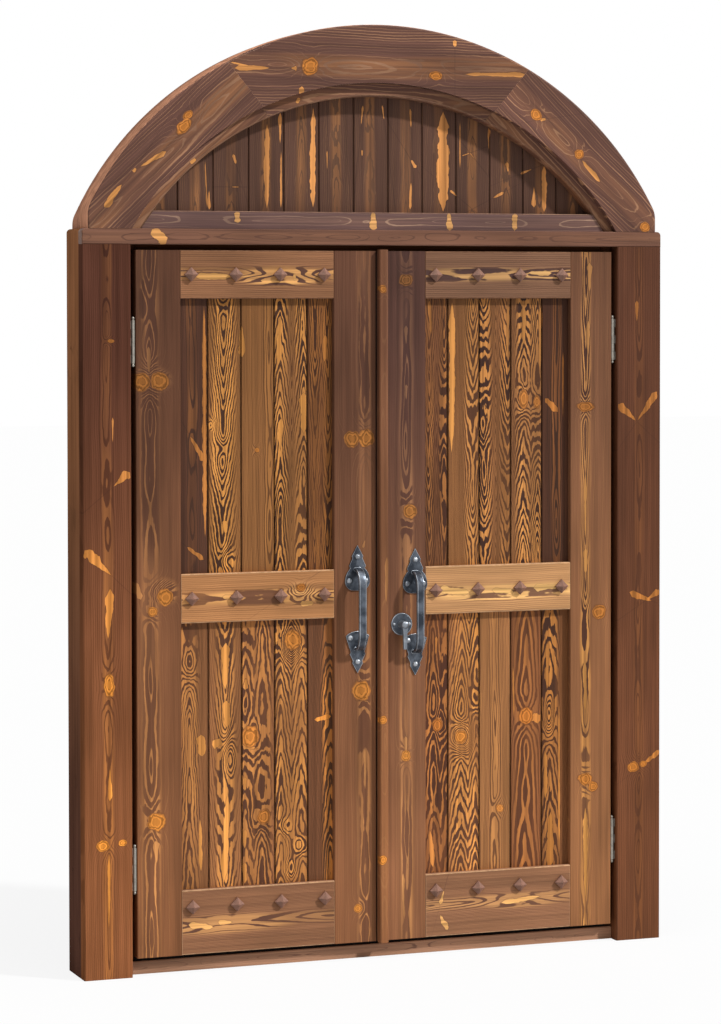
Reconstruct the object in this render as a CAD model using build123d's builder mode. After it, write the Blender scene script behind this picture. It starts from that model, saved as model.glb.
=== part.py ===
from build123d import *

import os
from math import atan2, cos, degrees, hypot, radians, sin, sqrt, tan

# Arched wooden double door in its frame, as it stands before it is set into a wall.
# Millimetres. X runs along the door, Y from the front to the back, Z up.
# The origin is on the floor, at the middle of the frame's width and depth.

# Frame: two posts, a front casing on them, head, threshold and stops
overall_width = 1806.0
frame_depth = 165.0
opening_height = 2096.0
jamb_width = 143.0
head_height = 45.0
casing_thickness = 38.0
casing_round = 4.0
head_corner_round = 12.0
beam_housing = 15.0
threshold_height = 38.0
threshold_setback = 41.0
threshold_round = 5.0
stop_width = 32.0
stop_thickness = 25.0
stop_play = 0.8

# Fixing holes through the posts, hidden behind the closed leaves
fixing_hole_radius = 5.25
fixing_counterbore_radius = 11.0
fixing_counterbore_depth = 14.0
fixing_hole_from_floor = 300.0
fixing_hole_from_head = 296.0
fixing_hole_from_back = 42.0

# Arch over the head: front ring, back ring and an inner bead, each in three mitred segments
arch_overhang = 10.0
arch_foot_lean = 23.55
ring_thickness = 88.0
ring_foot_inset = 17.0
ring_crown_width = 169.0
ring_foot_overlap = 4.4
ring_shoulder_round = 70.0
ring_arris = 6.0
seam_chamfer = 3.0
back_ring_overhang = -5.4
back_ring_crown_inset = 2.0
back_ring_lap = 12.0
mitre_outer_angle = 28.16
mitre_inner_angle = 24.22
bead_setback = 22.0
bead_crown_width = 38.5
bead_foot_width = 32.0
bead_arris = 3.0
bead_clearance = 0.2

# Boarding inside the arch and the rail at its foot
lunette_board_thickness = 22.0
lunette_board_pitch = 108.0
lunette_joint_offset = -61.0
lunette_board_play = 2.0
base_rail_height = 52.0
base_rail_arris = 2.0

# Leaves
leaf_setback = 9.0
leaf_thickness = 45.0
side_gap = 16.0
top_gap = 16.0
sill_gap = 14.0
meeting_gap = 4.0
meeting_offset = -10.5
hinge_stile_width = 134.0
panel_from_middle = 143.5
top_rail_height = 139.0
mid_rail_height = 142.0
mid_rail_centre_z = 1080.0
bottom_rail_height = 187.0
leaf_arris = 2.0
tenon_thickness = 14.0
tenon_length = 55.0
tenon_shoulder = 15.0
joint_clearance = 0.2

# Boards in the leaves
board_recess = 18.0
board_thickness = 16.0
board_pitch = 101.0
first_board_width = 86.5
groove_depth = 10.0
board_end_play = 1.0

# Tongue and groove between boards
shoulder_gap = 1.2
board_chamfer = 2.6
tongue_thickness = 5.0
tongue_length = 6.0
tongue_clearance = 0.3

# Cover strip on the meeting edge of the right leaf
strip_width = 28.0
strip_thickness = 20.0
strip_round = 6.0
strip_overrun = 4.0

# Square pyramid-headed nails on the rails
nail_head_side = 29.0
nail_head_edge = 8.0
nail_head_height = 19.0
nail_tip_side = 4.0
nail_shank_side = 6.0
nail_shank_length = 32.0
nail_from_panel_end = 31.0
nails_per_rail = 4
bottom_nail_height = 138.0

# Pull handles
pull_left_backset = 59.5
pull_right_backset = 117.5
pull_left_z = 1033.0
pull_right_z = 1019.0
pull_length = 374.0
pull_plate_thickness = 4.0
pull_upper_plate_height = 132.0
pull_lower_plate_height = 122.0
pull_upper_plate_half_width = 38.5
pull_lower_plate_half_width = 36.0
pull_grip_width = 23.0
pull_grip_thickness = 10.0
pull_grip_arris = 2.2
pull_grip_stand_off = 51.0
pull_grip_bend = 41.0
pull_grip_from_tip = 70.0
pull_screw_from_tip = 33.0
pull_side_screw_from_tip = 103.0
pull_upper_screw_offset = 26.0
pull_lower_screw_offset = 23.0
dome_radius = 8.2
dome_height = 6.0
screw_shank_radius = 2.5
screw_entry = 14.0
screw_clearance = 0.1

# Turn lever, rose and latch
latch_backset = 75.5
latch_above_pull_plate = 30.0
rose_radius = 33.0
rose_thickness = 3.0
rose_screw_offset = 24.0
rose_dome_radius = 4.5
rose_dome_height = 2.5
boss_radius = 11.0
boss_bore_clearance = 0.3
lever_clear_of_strip = 4.5
lever_thickness = 8.0
lever_length = 72.0
lever_top_width = 19.0
lever_waist_width = 12.0
lever_waist_below = 27.0
lever_tip_width = 10.5
lever_dome_height = 5.0
spindle_side = 8.0
spindle_hole_radius = 6.2
case_thickness = 14.0
case_wall = 2.0
case_height = 76.0
case_depth = 94.0
forend_thickness = 2.5
forend_width = 20.0
forend_height = 120.0
bolt_height = 20.0
bolt_thickness = 9.2
bolt_head_length = 38.0
bolt_tail_thickness = 4.5
bolt_tail_end_play = 3.0
bolt_running_gap = 0.4
cam_radius = 16.0
cam_pin_orbit = 11.5
cam_pin_radius = 2.5
cam_slot_play = 0.8
strike_depth = 17.0
strike_play = 1.8

# Butt hinges with ball finials
hinge_from_leaf_bottom = 256.0
hinge_from_leaf_top = 262.0
hinge_axis_from_jamb = 10.0
hinge_axis_from_front = 15.0
knuckle_radius = 5.5
knuckle_length = 24.0
knuckle_gap = 0.5
knuckles_per_hinge = 5
pin_radius = 3.0
pin_running_gap = 0.05
hinge_plate_thickness = 2.5
hinge_plate_reach = 22.0
finial_radius = 4.5
finial_neck = 2.0
hinge_screw_head_radius = 3.6
hinge_screw_shank_radius = 1.8
hinge_screw_angle = 82.0
hinge_screw_length = 28.0
hinge_screw_spacing = 40.0
hinge_screw_slot_width = 0.9
hinge_screw_slot_depth = 0.9

# Places worked out from the sizes above
half_width = overall_width / 2
opening_half = half_width - jamb_width
front_y = -frame_depth / 2
back_y = frame_depth / 2
post_front_y = front_y + casing_thickness
springing_z = opening_height + head_height
arch_half_span = half_width + arch_overhang
arch_lean = radians(arch_foot_lean)
arch_rise = arch_half_span * (1 - sin(arch_lean)) / cos(arch_lean)
leaf_front_y = front_y + leaf_setback
leaf_back_y = leaf_front_y + leaf_thickness
leaf_middle_y = (leaf_front_y + leaf_back_y) / 2
leaf_top_z = opening_height - top_gap
leaf_bottom_z = threshold_height + sill_gap
leaf_outer_x = opening_half - side_gap
left_meeting_x = meeting_offset - meeting_gap / 2
right_meeting_x = meeting_offset + meeting_gap / 2
stop_y = leaf_back_y + stop_play
panel_outer_x = leaf_outer_x - hinge_stile_width
mid_rail_low = mid_rail_centre_z - mid_rail_height / 2
mid_rail_high = mid_rail_centre_z + mid_rail_height / 2
top_rail_low = leaf_top_z - top_rail_height
bottom_rail_high = leaf_bottom_z + bottom_rail_height
board_front_y = leaf_front_y + board_recess
board_back_y = board_front_y + board_thickness
hinge_x = opening_half - hinge_axis_from_jamb
hinge_y = front_y + hinge_axis_from_front
hinge_heights = (leaf_bottom_z + hinge_from_leaf_bottom, leaf_top_z - hinge_from_leaf_top)
barrel_length = knuckles_per_hinge * knuckle_length + (knuckles_per_hinge - 1) * knuckle_gap
frame_plate_x = (opening_half - hinge_plate_thickness, opening_half)
leaf_plate_x = (leaf_outer_x, leaf_outer_x + hinge_plate_thickness)
plate_y = (hinge_y + knuckle_radius + knuckle_gap, hinge_y + hinge_plate_reach)
latch_x = right_meeting_x + latch_backset
right_pull_foot_z = pull_right_z - pull_length / 2
latch_z = right_pull_foot_z + pull_lower_plate_height + latch_above_pull_plate
lever_front_y = leaf_front_y - strip_thickness - lever_clear_of_strip - lever_thickness

os.makedirs("parts", exist_ok=True)


def save(piece, name):
    """Label a finished piece and write it under its own name."""
    piece.part.label = name
    export_step(piece.part, f"parts/{name}.step")


def side_of(sign):
    """The side's name, for a piece that exists left and right."""
    return "left" if sign < 0 else "right"


def block(x_ends, y_ends, z_ends, mode=Mode.ADD):
    """A straight block between three pairs of ends, in the part being built."""
    centre = [(low + high) / 2 for low, high in (x_ends, y_ends, z_ends)]
    size = [abs(high - low) for low, high in (x_ends, y_ends, z_ends)]
    with Locations(tuple(centre)):
        Box(*size, mode=mode)


def facing(y):
    """A drawing plane seen from the front, at this depth: x to the right, y up."""
    return Plane(origin=(0, y, 0), x_dir=(1, 0, 0), z_dir=(0, -1, 0))


def arch_circle(half_span, rise):
    """Radius and centre height of the arc through both springing points and the crown."""
    radius = (half_span**2 + rise**2) / (2 * rise)
    return radius, springing_z + rise - radius


# Posts, with a housing for the head beam and two fixing holes each
fixing_hole_y = back_y - fixing_hole_from_back
for sign in (-1, 1):
    with BuildPart() as post:
        block((sign * opening_half, sign * half_width), (post_front_y, back_y), (0, springing_z))
        outer_top = post.edges().filter_by(Axis.Y).sort_by(Axis.Z)[-2:].sort_by(Axis.X)
        fillet(outer_top[0] if sign < 0 else outer_top[-1], head_corner_round)
        housing = (sign * opening_half, sign * (opening_half + beam_housing))
        block(housing, (post_front_y, back_y), (opening_height, springing_z), Mode.SUBTRACT)
        for z in (fixing_hole_from_floor, opening_height - fixing_hole_from_head):
            hole_start = Plane(
                origin=(sign * opening_half, fixing_hole_y, z),
                x_dir=(0, 1, 0),
                z_dir=(-sign, 0, 0),
            )
            with Locations(hole_start):
                CounterBoreHole(
                    fixing_hole_radius,
                    fixing_counterbore_radius,
                    fixing_counterbore_depth,
                    jamb_width,
                )
    save(post, f"{side_of(sign)}_post")

def hinge_screw_planes(sign, plate_x):
    """Where the screws of both hinges stand on a plate's open face, looking out of it."""
    faces_out = plate_x[0] < hinge_x
    open_x = plate_x[1] if faces_out else plate_x[0]
    outward = sign if faces_out else -sign
    middle_y = (plate_y[0] + plate_y[1]) / 2
    planes = []
    for centre_z in hinge_heights:
        for z in (centre_z - hinge_screw_spacing, centre_z, centre_z + hinge_screw_spacing):
            planes.append(
                Plane(
                    origin=(sign * open_x, middle_y, z),
                    x_dir=(0, 1, 0),
                    z_dir=(outward, 0, 0),
                )
            )
    return planes


def drill_for_hinge(sign, plate_x):
    """Drill the holes for a hinge plate's screws into the wood behind it."""
    with Locations(*hinge_screw_planes(sign, plate_x)):
        Hole(hinge_screw_shank_radius + screw_clearance, hinge_screw_length + screw_clearance)


# Casing boards on the front of the posts
for sign in (-1, 1):
    with BuildPart() as jamb_board:
        block((sign * opening_half, sign * half_width), (front_y, post_front_y), (0, opening_height))
        front_face = jamb_board.faces().sort_by(Axis.Y)[0]
        fillet(front_face.edges().filter_by(Axis.Z), casing_round)
        drill_for_hinge(sign, frame_plate_x)
    save(jamb_board, f"{side_of(sign)}_jamb_board")

# Head board across both casing boards, with its upper corners rounded
with BuildPart() as head_board:
    with BuildSketch(facing(front_y)) as head_outline:
        with Locations((0, opening_height + head_height / 2)):
            Rectangle(overall_width, head_height)
        fillet(head_outline.vertices().group_by(Axis.Y)[-1], head_corner_round)
    extrude(amount=-casing_thickness)
    front_face = head_board.faces().sort_by(Axis.Y)[0]
    chamfer(front_face.edges().filter_by(Axis.X), base_rail_arris)
save(head_board, "head_board")

# Head beam behind it, let into the posts
beam_end = opening_half + beam_housing
with BuildPart() as head_beam:
    block((-beam_end, beam_end), (post_front_y, back_y), (opening_height, springing_z))
save(head_beam, "head_beam")

# Threshold between the posts, its front edge rounded by wear
with BuildPart() as threshold:
    block(
        (-opening_half, opening_half),
        (front_y + threshold_setback, back_y),
        (0, threshold_height),
    )
    front_top = threshold.edges().filter_by(Axis.X).group_by(Axis.Y)[0].sort_by(Axis.Z)[-1]
    fillet(front_top, threshold_round)
save(threshold, "threshold")

# Stops that the closed leaves rest against
stop_inner_x = opening_half - stop_width
stop_ends_y = (stop_y, stop_y + stop_thickness)
for sign in (-1, 1):
    with BuildPart() as side_stop:
        block(
            (sign * stop_inner_x, sign * opening_half),
            stop_ends_y,
            (threshold_height, opening_height),
        )
        inner_face = side_stop.faces().sort_by(Axis.X)[0 if sign > 0 else -1]
        chamfer(inner_face.edges().filter_by(Axis.Z), leaf_arris)
    save(side_stop, f"{side_of(sign)}_stop")

with BuildPart() as head_stop:
    block(
        (-stop_inner_x, stop_inner_x),
        stop_ends_y,
        (opening_height - stop_width, opening_height),
    )
    chamfer(head_stop.faces().sort_by(Axis.Z)[0].edges().filter_by(Axis.X), leaf_arris)
save(head_stop, "head_stop")


# Arcs of the arch, as radius and centre height
ring_outer = arch_circle(arch_half_span, arch_rise)
ring_inner = arch_circle(opening_half - ring_foot_overlap, arch_rise - ring_crown_width)
back_outer = arch_circle(half_width + back_ring_overhang, arch_rise - back_ring_crown_inset)
bead_inner_half_span = opening_half - ring_foot_overlap - bead_foot_width
bead_inner_rise = arch_rise - ring_crown_width - bead_crown_width
bead_inner = arch_circle(bead_inner_half_span, bead_inner_rise)
bead_outer = (ring_inner[0] - bead_clearance, ring_inner[1])
back_inner = arch_circle(bead_inner_half_span - back_ring_lap, bead_inner_rise - back_ring_lap)
ring_foot_x = half_width - ring_foot_inset


def point_on(arc, angle):
    """The point on an arc at this angle to the right of the crown, seen from its centre."""
    radius, centre_z = arc
    return (radius * sin(radians(angle)), centre_z + radius * cos(radians(angle)))


# The mitre runs from a point on the ring's outer edge to one on its inner edge
mitre_top = point_on(ring_outer, mitre_outer_angle)
mitre_foot = point_on(ring_inner, mitre_inner_angle)
mitre_length = hypot(mitre_top[0] - mitre_foot[0], mitre_top[1] - mitre_foot[1])
mitre_run = (
    (mitre_top[0] - mitre_foot[0]) / mitre_length,
    (mitre_top[1] - mitre_foot[1]) / mitre_length,
)


def along_mitre(distance):
    """A point on the right mitre line, this far up from the ring's inner edge."""
    return (mitre_foot[0] + mitre_run[0] * distance, mitre_foot[1] + mitre_run[1] * distance)


def crown_wedge(mode):
    """The wedge between both mitre lines, added to or cut from the open sketch."""
    low = along_mitre(-mitre_length)
    high = along_mitre(4 * mitre_length)
    corners = (low, high, (-high[0], high[1]), (-low[0], low[1]))
    Polygon(*corners, align=None, mode=mode)


def arc_band(outline, outer, inner, foot_x, shoulder):
    """Draw the arched band between two arcs, cut off level at the springing line."""
    with Locations((0, outer[1])):
        Circle(outer[0])
    with Locations((0, springing_z + outer[0] / 2)):
        Rectangle(2 * foot_x, outer[0], mode=Mode.INTERSECT)
    shoulders = outline.vertices().filter_by(lambda v: v.Y > springing_z + 1)
    fillet(shoulders, shoulder)
    with Locations((0, inner[1])):
        Circle(inner[0], mode=Mode.SUBTRACT)


def keep_segment(which):
    """Keep one of the three mitred segments of the band in the open sketch."""
    if which == "crown":
        crown_wedge(Mode.INTERSECT)
    else:
        sign = -1 if which == "left" else 1
        with Locations((sign * half_width, springing_z)):
            Rectangle(2 * half_width, 4 * arch_rise, mode=Mode.INTERSECT)
        crown_wedge(Mode.SUBTRACT)


def edges_beyond(face, arc, distance):
    """The face's edges whose middle lies at least this far from the arc's centre."""

    def far_out(edge):
        middle = edge.position_at(0.5)
        return hypot(middle.X, middle.Z - arc[1]) > distance

    return face.edges().filter_by(far_out)


# Front and back ring, with a V groove round the outside where they meet
ring_back_y = front_y + ring_thickness
for which in ("left", "crown", "right"):
    with BuildPart() as front_segment:
        with BuildSketch(facing(front_y)) as outline:
            arc_band(outline, ring_outer, ring_inner, ring_foot_x, ring_shoulder_round)
            keep_segment(which)
        extrude(amount=-ring_thickness)
        rim = ring_outer[0] - 2 * ring_foot_inset
        seam_edges = edges_beyond(front_segment.faces().sort_by(Axis.Y)[-1], ring_outer, rim)
        chamfer(seam_edges, seam_chamfer)
        rim_edges = edges_beyond(front_segment.faces().sort_by(Axis.Y)[0], ring_outer, rim)
        fillet(rim_edges, ring_arris)
    save(front_segment, f"arch_front_{which}")

    with BuildPart() as back_segment:
        with BuildSketch(facing(ring_back_y)) as outline:
            arc_band(outline, back_outer, back_inner, ring_foot_x, ring_shoulder_round)
            keep_segment(which)
        extrude(amount=-(frame_depth - ring_thickness))
        rim = back_outer[0] - 2 * ring_foot_inset
        seam_edges = edges_beyond(back_segment.faces().sort_by(Axis.Y)[0], back_outer, rim)
        chamfer(seam_edges, seam_chamfer)
    save(back_segment, f"arch_back_{which}")

# Bead inside the front ring, which holds the boarding
bead_front_y = front_y + bead_setback
lunette_front_y = ring_back_y - lunette_board_thickness
for which in ("left", "crown", "right"):
    with BuildPart() as bead_segment:
        with BuildSketch(facing(bead_front_y)):
            with Locations((0, bead_outer[1])):
                Circle(bead_outer[0])
            with Locations((0, springing_z + bead_outer[0] / 2)):
                Rectangle(2 * half_width, bead_outer[0], mode=Mode.INTERSECT)
            with Locations((0, bead_inner[1])):
                Circle(bead_inner[0], mode=Mode.SUBTRACT)
            keep_segment(which)
        extrude(amount=bead_front_y - lunette_front_y)
        front_face = bead_segment.faces().sort_by(Axis.Y)[0]
        inner_arc = front_face.edges().filter_by(GeomType.CIRCLE).sort_by(SortBy.RADIUS)[0]
        chamfer(inner_arc, bead_arris)
    save(bead_segment, f"arch_bead_{which}")

# Rail at the foot of the boarding, its ends cut to the bead's curve
with BuildPart() as base_rail:
    with BuildSketch(facing(bead_front_y)):
        with Locations((0, springing_z + base_rail_height / 2)):
            Rectangle(2 * half_width, base_rail_height)
        with Locations((0, bead_inner[1])):
            Circle(bead_inner[0] - bead_clearance, mode=Mode.INTERSECT)
    extrude(amount=bead_front_y - lunette_front_y)
    front_face = base_rail.faces().sort_by(Axis.Y)[0]
    top_arris = front_face.edges().filter_by(Axis.X).sort_by(Axis.Z)[-1]
    chamfer(top_arris, base_rail_arris)
save(base_rail, "base_rail")


def board_section(x_ends, y_ends, grooved, tongued):
    """Draw one board's section: a groove on its first edge and a tongue on its second."""
    first, second = x_ends
    front, back = y_ends
    way = 1 if second > first else -1
    first += way * shoulder_gap / 2
    second -= way * shoulder_gap / 2
    middle = (front + back) / 2
    tongue = tongue_thickness / 2
    mouth = tongue + tongue_clearance
    groove_end = first + way * (tongue_length + shoulder_gap + tongue_clearance)
    tongue_end = second + way * tongue_length
    points = [(first + way * board_chamfer, front), (second - way * board_chamfer, front)]
    points.append((second, front + board_chamfer))
    if tongued:
        points += [(second, middle - tongue), (tongue_end, middle - tongue)]
        points += [(tongue_end, middle + tongue), (second, middle + tongue)]
    points += [(second, back), (first, back)]
    if grooved:
        points += [(first, middle + mouth), (groove_end, middle + mouth)]
        points += [(groove_end, middle - mouth), (first, middle - mouth)]
    points.append((first, front + board_chamfer))
    Polygon(*points, align=None)


def boarding(seams, y_ends, z_ends):
    """Tongued and grooved boards between these seams, side by side in the open part."""
    last = len(seams) - 2
    for place in range(len(seams) - 1):
        with BuildSketch(Plane.XY.offset(z_ends[0])) as section:
            board_section(seams[place : place + 2], y_ends, place > 0, place < last)
        extrude(section.sketch, amount=z_ends[1] - z_ends[0])


# Boarding of the arch, standing on the head behind the bead and cut to the curve
lunette_arc = (ring_inner[0] - lunette_board_play, ring_inner[1])
lunette_half_span = sqrt(lunette_arc[0] ** 2 - (springing_z - lunette_arc[1]) ** 2)
joints_left = int((lunette_half_span + lunette_joint_offset) / lunette_board_pitch)
joints_right = int((lunette_half_span - lunette_joint_offset) / lunette_board_pitch)
lunette_seams = [
    lunette_joint_offset + lunette_board_pitch * count
    for count in range(-joints_left, joints_right + 1)
]
lunette_seams = [-lunette_half_span] + lunette_seams + [lunette_half_span]
with BuildPart() as lunette_boards:
    boarding(lunette_seams, (lunette_front_y, ring_back_y), (springing_z, springing_z + arch_rise))
    with BuildSketch(facing(lunette_front_y)):
        with Locations((0, lunette_arc[1])):
            Circle(lunette_arc[0])
    extrude(amount=-lunette_board_thickness, mode=Mode.INTERSECT)
save(lunette_boards, "lunette_boards")


# Stiles and rails of the leaves, joined with mortise and tenon
board_entry = groove_depth - board_end_play
groove_y = (board_front_y - joint_clearance, board_back_y + joint_clearance)
tenon_y = (leaf_middle_y - tenon_thickness / 2, leaf_middle_y + tenon_thickness / 2)
mortise_y = (tenon_y[0] - joint_clearance, tenon_y[1] + joint_clearance)
rails = {
    "top": (top_rail_low, leaf_top_z),
    "mid": (mid_rail_low, mid_rail_high),
    "bottom": (leaf_bottom_z, bottom_rail_high),
}
panels = {"upper": (mid_rail_high, top_rail_low), "lower": (bottom_rail_high, mid_rail_low)}


def ease_front(piece, axis):
    """Ease the two long front arrises of a piece."""
    front_face = piece.faces().sort_by(Axis.Y)[0]
    chamfer(front_face.edges().filter_by(axis), leaf_arris)


def stile(piece, edge_x, panel_x):
    """Fill the open part with a stile, grooved and mortised on its panel side."""
    way = 1 if edge_x > panel_x else -1
    block((edge_x, panel_x), (leaf_front_y, leaf_back_y), (leaf_bottom_z, leaf_top_z))
    ease_front(piece, Axis.Z)
    for low, high in panels.values():
        groove_x = (panel_x, panel_x + way * groove_depth)
        block(groove_x, groove_y, (low - groove_depth, high + groove_depth), Mode.SUBTRACT)
    for low, high in rails.values():
        mortise_x = (panel_x, panel_x + way * (tenon_length + board_end_play))
        mortise_z = (
            low + tenon_shoulder - joint_clearance,
            high - tenon_shoulder + joint_clearance,
        )
        block(mortise_x, mortise_y, mortise_z, Mode.SUBTRACT)


def nail_places(sign, low, high):
    """Where the nails of one rail stand, as x and z on the leaf's face."""
    centre_z = leaf_bottom_z + bottom_nail_height if low == leaf_bottom_z else (low + high) / 2
    first = panel_from_middle + nail_from_panel_end
    spacing = (panel_outer_x - nail_from_panel_end - first) / (nails_per_rail - 1)
    return [(sign * (first + spacing * count), centre_z) for count in range(nails_per_rail)]


def rail(piece, sign, low, high):
    """Fill the open part with a rail: shoulders, tenons, grooves and nail holes."""
    ends = (sign * panel_from_middle, sign * panel_outer_x)
    block(ends, (leaf_front_y, leaf_back_y), (low, high))
    ease_front(piece, Axis.X)
    if high < leaf_top_z:
        block(ends, groove_y, (high - groove_depth, high), Mode.SUBTRACT)
    if low > leaf_bottom_z:
        block(ends, groove_y, (low, low + groove_depth), Mode.SUBTRACT)
    tenon_ends = (
        sign * (panel_from_middle - tenon_length),
        sign * (panel_outer_x + tenon_length),
    )
    block(tenon_ends, tenon_y, (low + tenon_shoulder, high - tenon_shoulder))
    hole_side = nail_shank_side + joint_clearance
    with BuildSketch(facing(leaf_front_y)) as holes:
        with Locations(*nail_places(sign, low, high)):
            Rectangle(hole_side, hole_side, rotation=45)
    depth = nail_shank_length + joint_clearance
    extrude(holes.sketch, amount=-depth, mode=Mode.SUBTRACT)


case_x = (right_meeting_x + forend_thickness, right_meeting_x + case_depth)
case_y = (leaf_middle_y - case_thickness / 2, leaf_middle_y + case_thickness / 2)
case_z = (latch_z - case_height / 2, latch_z + case_height / 2)
forend_y = (leaf_middle_y - forend_width / 2, leaf_middle_y + forend_width / 2)
forend_z = (latch_z - forend_height / 2, latch_z + forend_height / 2)
strike_x = (left_meeting_x - forend_thickness, left_meeting_x)
strike_hole_y = (
    leaf_middle_y - bolt_thickness / 2 - strike_play,
    leaf_middle_y + bolt_thickness / 2 + strike_play,
)
strike_hole_z = (
    latch_z - bolt_height / 2 - strike_play,
    latch_z + bolt_height / 2 + strike_play,
)
pull_places = {
    -1: (left_meeting_x - pull_left_backset, pull_left_z),
    1: (right_meeting_x + pull_right_backset, pull_right_z),
}


def grown(ends, amount):
    """A pair of ends moved apart by this much at each end."""
    return (min(ends) - amount, max(ends) + amount)


def pull_screw_places(x, z):
    """Where a pull's six screws stand: one near each tip and two across each lobe."""
    tip = pull_length / 2 - pull_screw_from_tip
    lobe = pull_length / 2 - pull_side_screw_from_tip
    places = [(x, z + tip), (x, z - tip)]
    for way in (-1, 1):
        places.append((x + way * pull_upper_screw_offset, z + lobe))
        places.append((x + way * pull_lower_screw_offset, z - lobe))
    return places


def drill_front(places, radius, depth):
    """Drill round holes into the leaf's face at these places."""
    with BuildSketch(facing(leaf_front_y)) as holes:
        with Locations(*places):
            Circle(radius)
    extrude(holes.sketch, amount=-depth, mode=Mode.SUBTRACT)


for sign in (-1, 1):
    with BuildPart() as hinge_stile:
        stile(hinge_stile, sign * leaf_outer_x, sign * panel_outer_x)
        drill_for_hinge(sign, leaf_plate_x)
    save(hinge_stile, f"{side_of(sign)}_hinge_stile")

with BuildPart() as left_meeting_stile:
    stile(left_meeting_stile, left_meeting_x, -panel_from_middle)
    block(strike_x, grown(forend_y, joint_clearance), grown(forend_z, joint_clearance), Mode.SUBTRACT)
    pocket_x = (left_meeting_x - strike_depth, left_meeting_x)
    block(pocket_x, strike_hole_y, strike_hole_z, Mode.SUBTRACT)
    drill_front(pull_screw_places(*pull_places[-1]), screw_shank_radius + screw_clearance, screw_entry)
save(left_meeting_stile, "left_meeting_stile")

rose_screw_places = [(latch_x - rose_screw_offset, latch_z), (latch_x + rose_screw_offset, latch_z)]
with BuildPart() as right_lock_stile:
    stile(right_lock_stile, right_meeting_x, panel_from_middle)
    forend_x = (right_meeting_x, right_meeting_x + forend_thickness)
    block(forend_x, grown(forend_y, joint_clearance), grown(forend_z, joint_clearance), Mode.SUBTRACT)
    case_mortise_x = (right_meeting_x, case_x[1] + board_end_play)
    block(
        case_mortise_x,
        grown(case_y, joint_clearance),
        grown(case_z, joint_clearance),
        Mode.SUBTRACT,
    )
    drill_front([(latch_x, latch_z)], spindle_hole_radius, leaf_middle_y - leaf_front_y)
    drill_front(pull_screw_places(*pull_places[1]), screw_shank_radius + screw_clearance, screw_entry)
    drill_front(rose_screw_places, screw_shank_radius + screw_clearance, screw_entry)
save(right_lock_stile, "right_lock_stile")

for sign in (-1, 1):
    for place, (low, high) in rails.items():
        with BuildPart() as leaf_rail:
            rail(leaf_rail, sign, low, high)
        save(leaf_rail, f"{side_of(sign)}_{place}_rail")

    seams = [panel_outer_x + board_entry]
    seam_x = panel_outer_x - first_board_width
    while seam_x > panel_from_middle + board_pitch / 4:
        seams.append(seam_x)
        seam_x -= board_pitch
    seams.append(panel_from_middle - board_entry)
    for place, (low, high) in panels.items():
        with BuildPart() as panel_boards:
            boarding(
                [sign * x for x in seams],
                (board_front_y, board_back_y),
                (low - board_entry, high + board_entry),
            )
        save(panel_boards, f"{side_of(sign)}_{place}_boards")

# Cover strip on the right leaf's meeting edge
with BuildPart() as cover_strip:
    block(
        (right_meeting_x, right_meeting_x + strip_width),
        (leaf_front_y - strip_thickness, leaf_front_y),
        (leaf_bottom_z - strip_overrun, leaf_top_z + strip_overrun),
    )
    fillet(cover_strip.faces().sort_by(Axis.Y)[0].edges().filter_by(Axis.Z), strip_round)
save(cover_strip, "cover_strip")

# Nails with square pyramid heads set on their corners
nail_taper = degrees(
    atan2((nail_head_side - nail_tip_side) / 2, nail_head_height - nail_head_edge)
)
for sign in (-1, 1):
    with BuildPart() as nails:
        for low, high in rails.values():
            for x, z in nail_places(sign, low, high):
                with BuildSketch(facing(leaf_front_y)):
                    with Locations((x, z)):
                        Rectangle(nail_head_side, nail_head_side, rotation=45)
                extrude(amount=nail_head_edge)
                with BuildSketch(facing(leaf_front_y - nail_head_edge)):
                    with Locations((x, z)):
                        Rectangle(nail_head_side, nail_head_side, rotation=45)
                extrude(amount=nail_head_height - nail_head_edge, taper=nail_taper)
                with BuildSketch(facing(leaf_front_y)):
                    with Locations((x, z)):
                        Rectangle(nail_shank_side, nail_shank_side, rotation=45)
                extrude(amount=-nail_shank_length)
    save(nails, f"{side_of(sign)}_nails")


def plate(way, reach, wide, squared):
    """Draw a forged plate with its tip at the origin, its far end squared to corners or round."""

    def at(across, along):
        return (wide * across, way * reach * along)

    flank = [at(0, 0), at(0.45, 0.24), at(0.40, 0.29), at(0.66, 0.45), at(0.58, 0.51)]
    with BuildLine() as half:
        Polyline(*flank)
        if squared:
            ThreePointArc(flank[-1], at(0.80, 0.69), at(1, 0.89))
            ThreePointArc(at(1, 0.89), at(0.60, 0.97), at(0, 1))
        else:
            ThreePointArc(flank[-1], at(0.90, 0.65), at(1, 0.79))
            ThreePointArc(at(1, 0.79), at(0.80, 0.94), at(0.30, 1))
            Line(at(0.30, 1), at(0, 1))
        Line(at(0, 1), at(0, 0))
    make_face(half.edges())
    mirror(about=Plane.YZ)


def dome(radius, height):
    """A low dome standing on the plane z = 0."""
    with BuildPart() as cap:
        with BuildSketch(Plane.XZ):
            with BuildLine():
                shoulder = (radius * sin(radians(45)), height * cos(radians(45)))
                ThreePointArc((0, height), shoulder, (radius, 0))
                Polyline((radius, 0), (0, 0), (0, height))
            make_face()
        revolve(axis=Axis.Z)
    return cap.part


def dome_screw(radius, height, shank_length):
    """A round-headed screw along Z, its head standing on the plane z = 0."""
    with BuildPart() as screw:
        add(dome(radius, height))
        with BuildSketch():
            Circle(screw_shank_radius)
        extrude(amount=-shank_length)
    return screw.part


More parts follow.
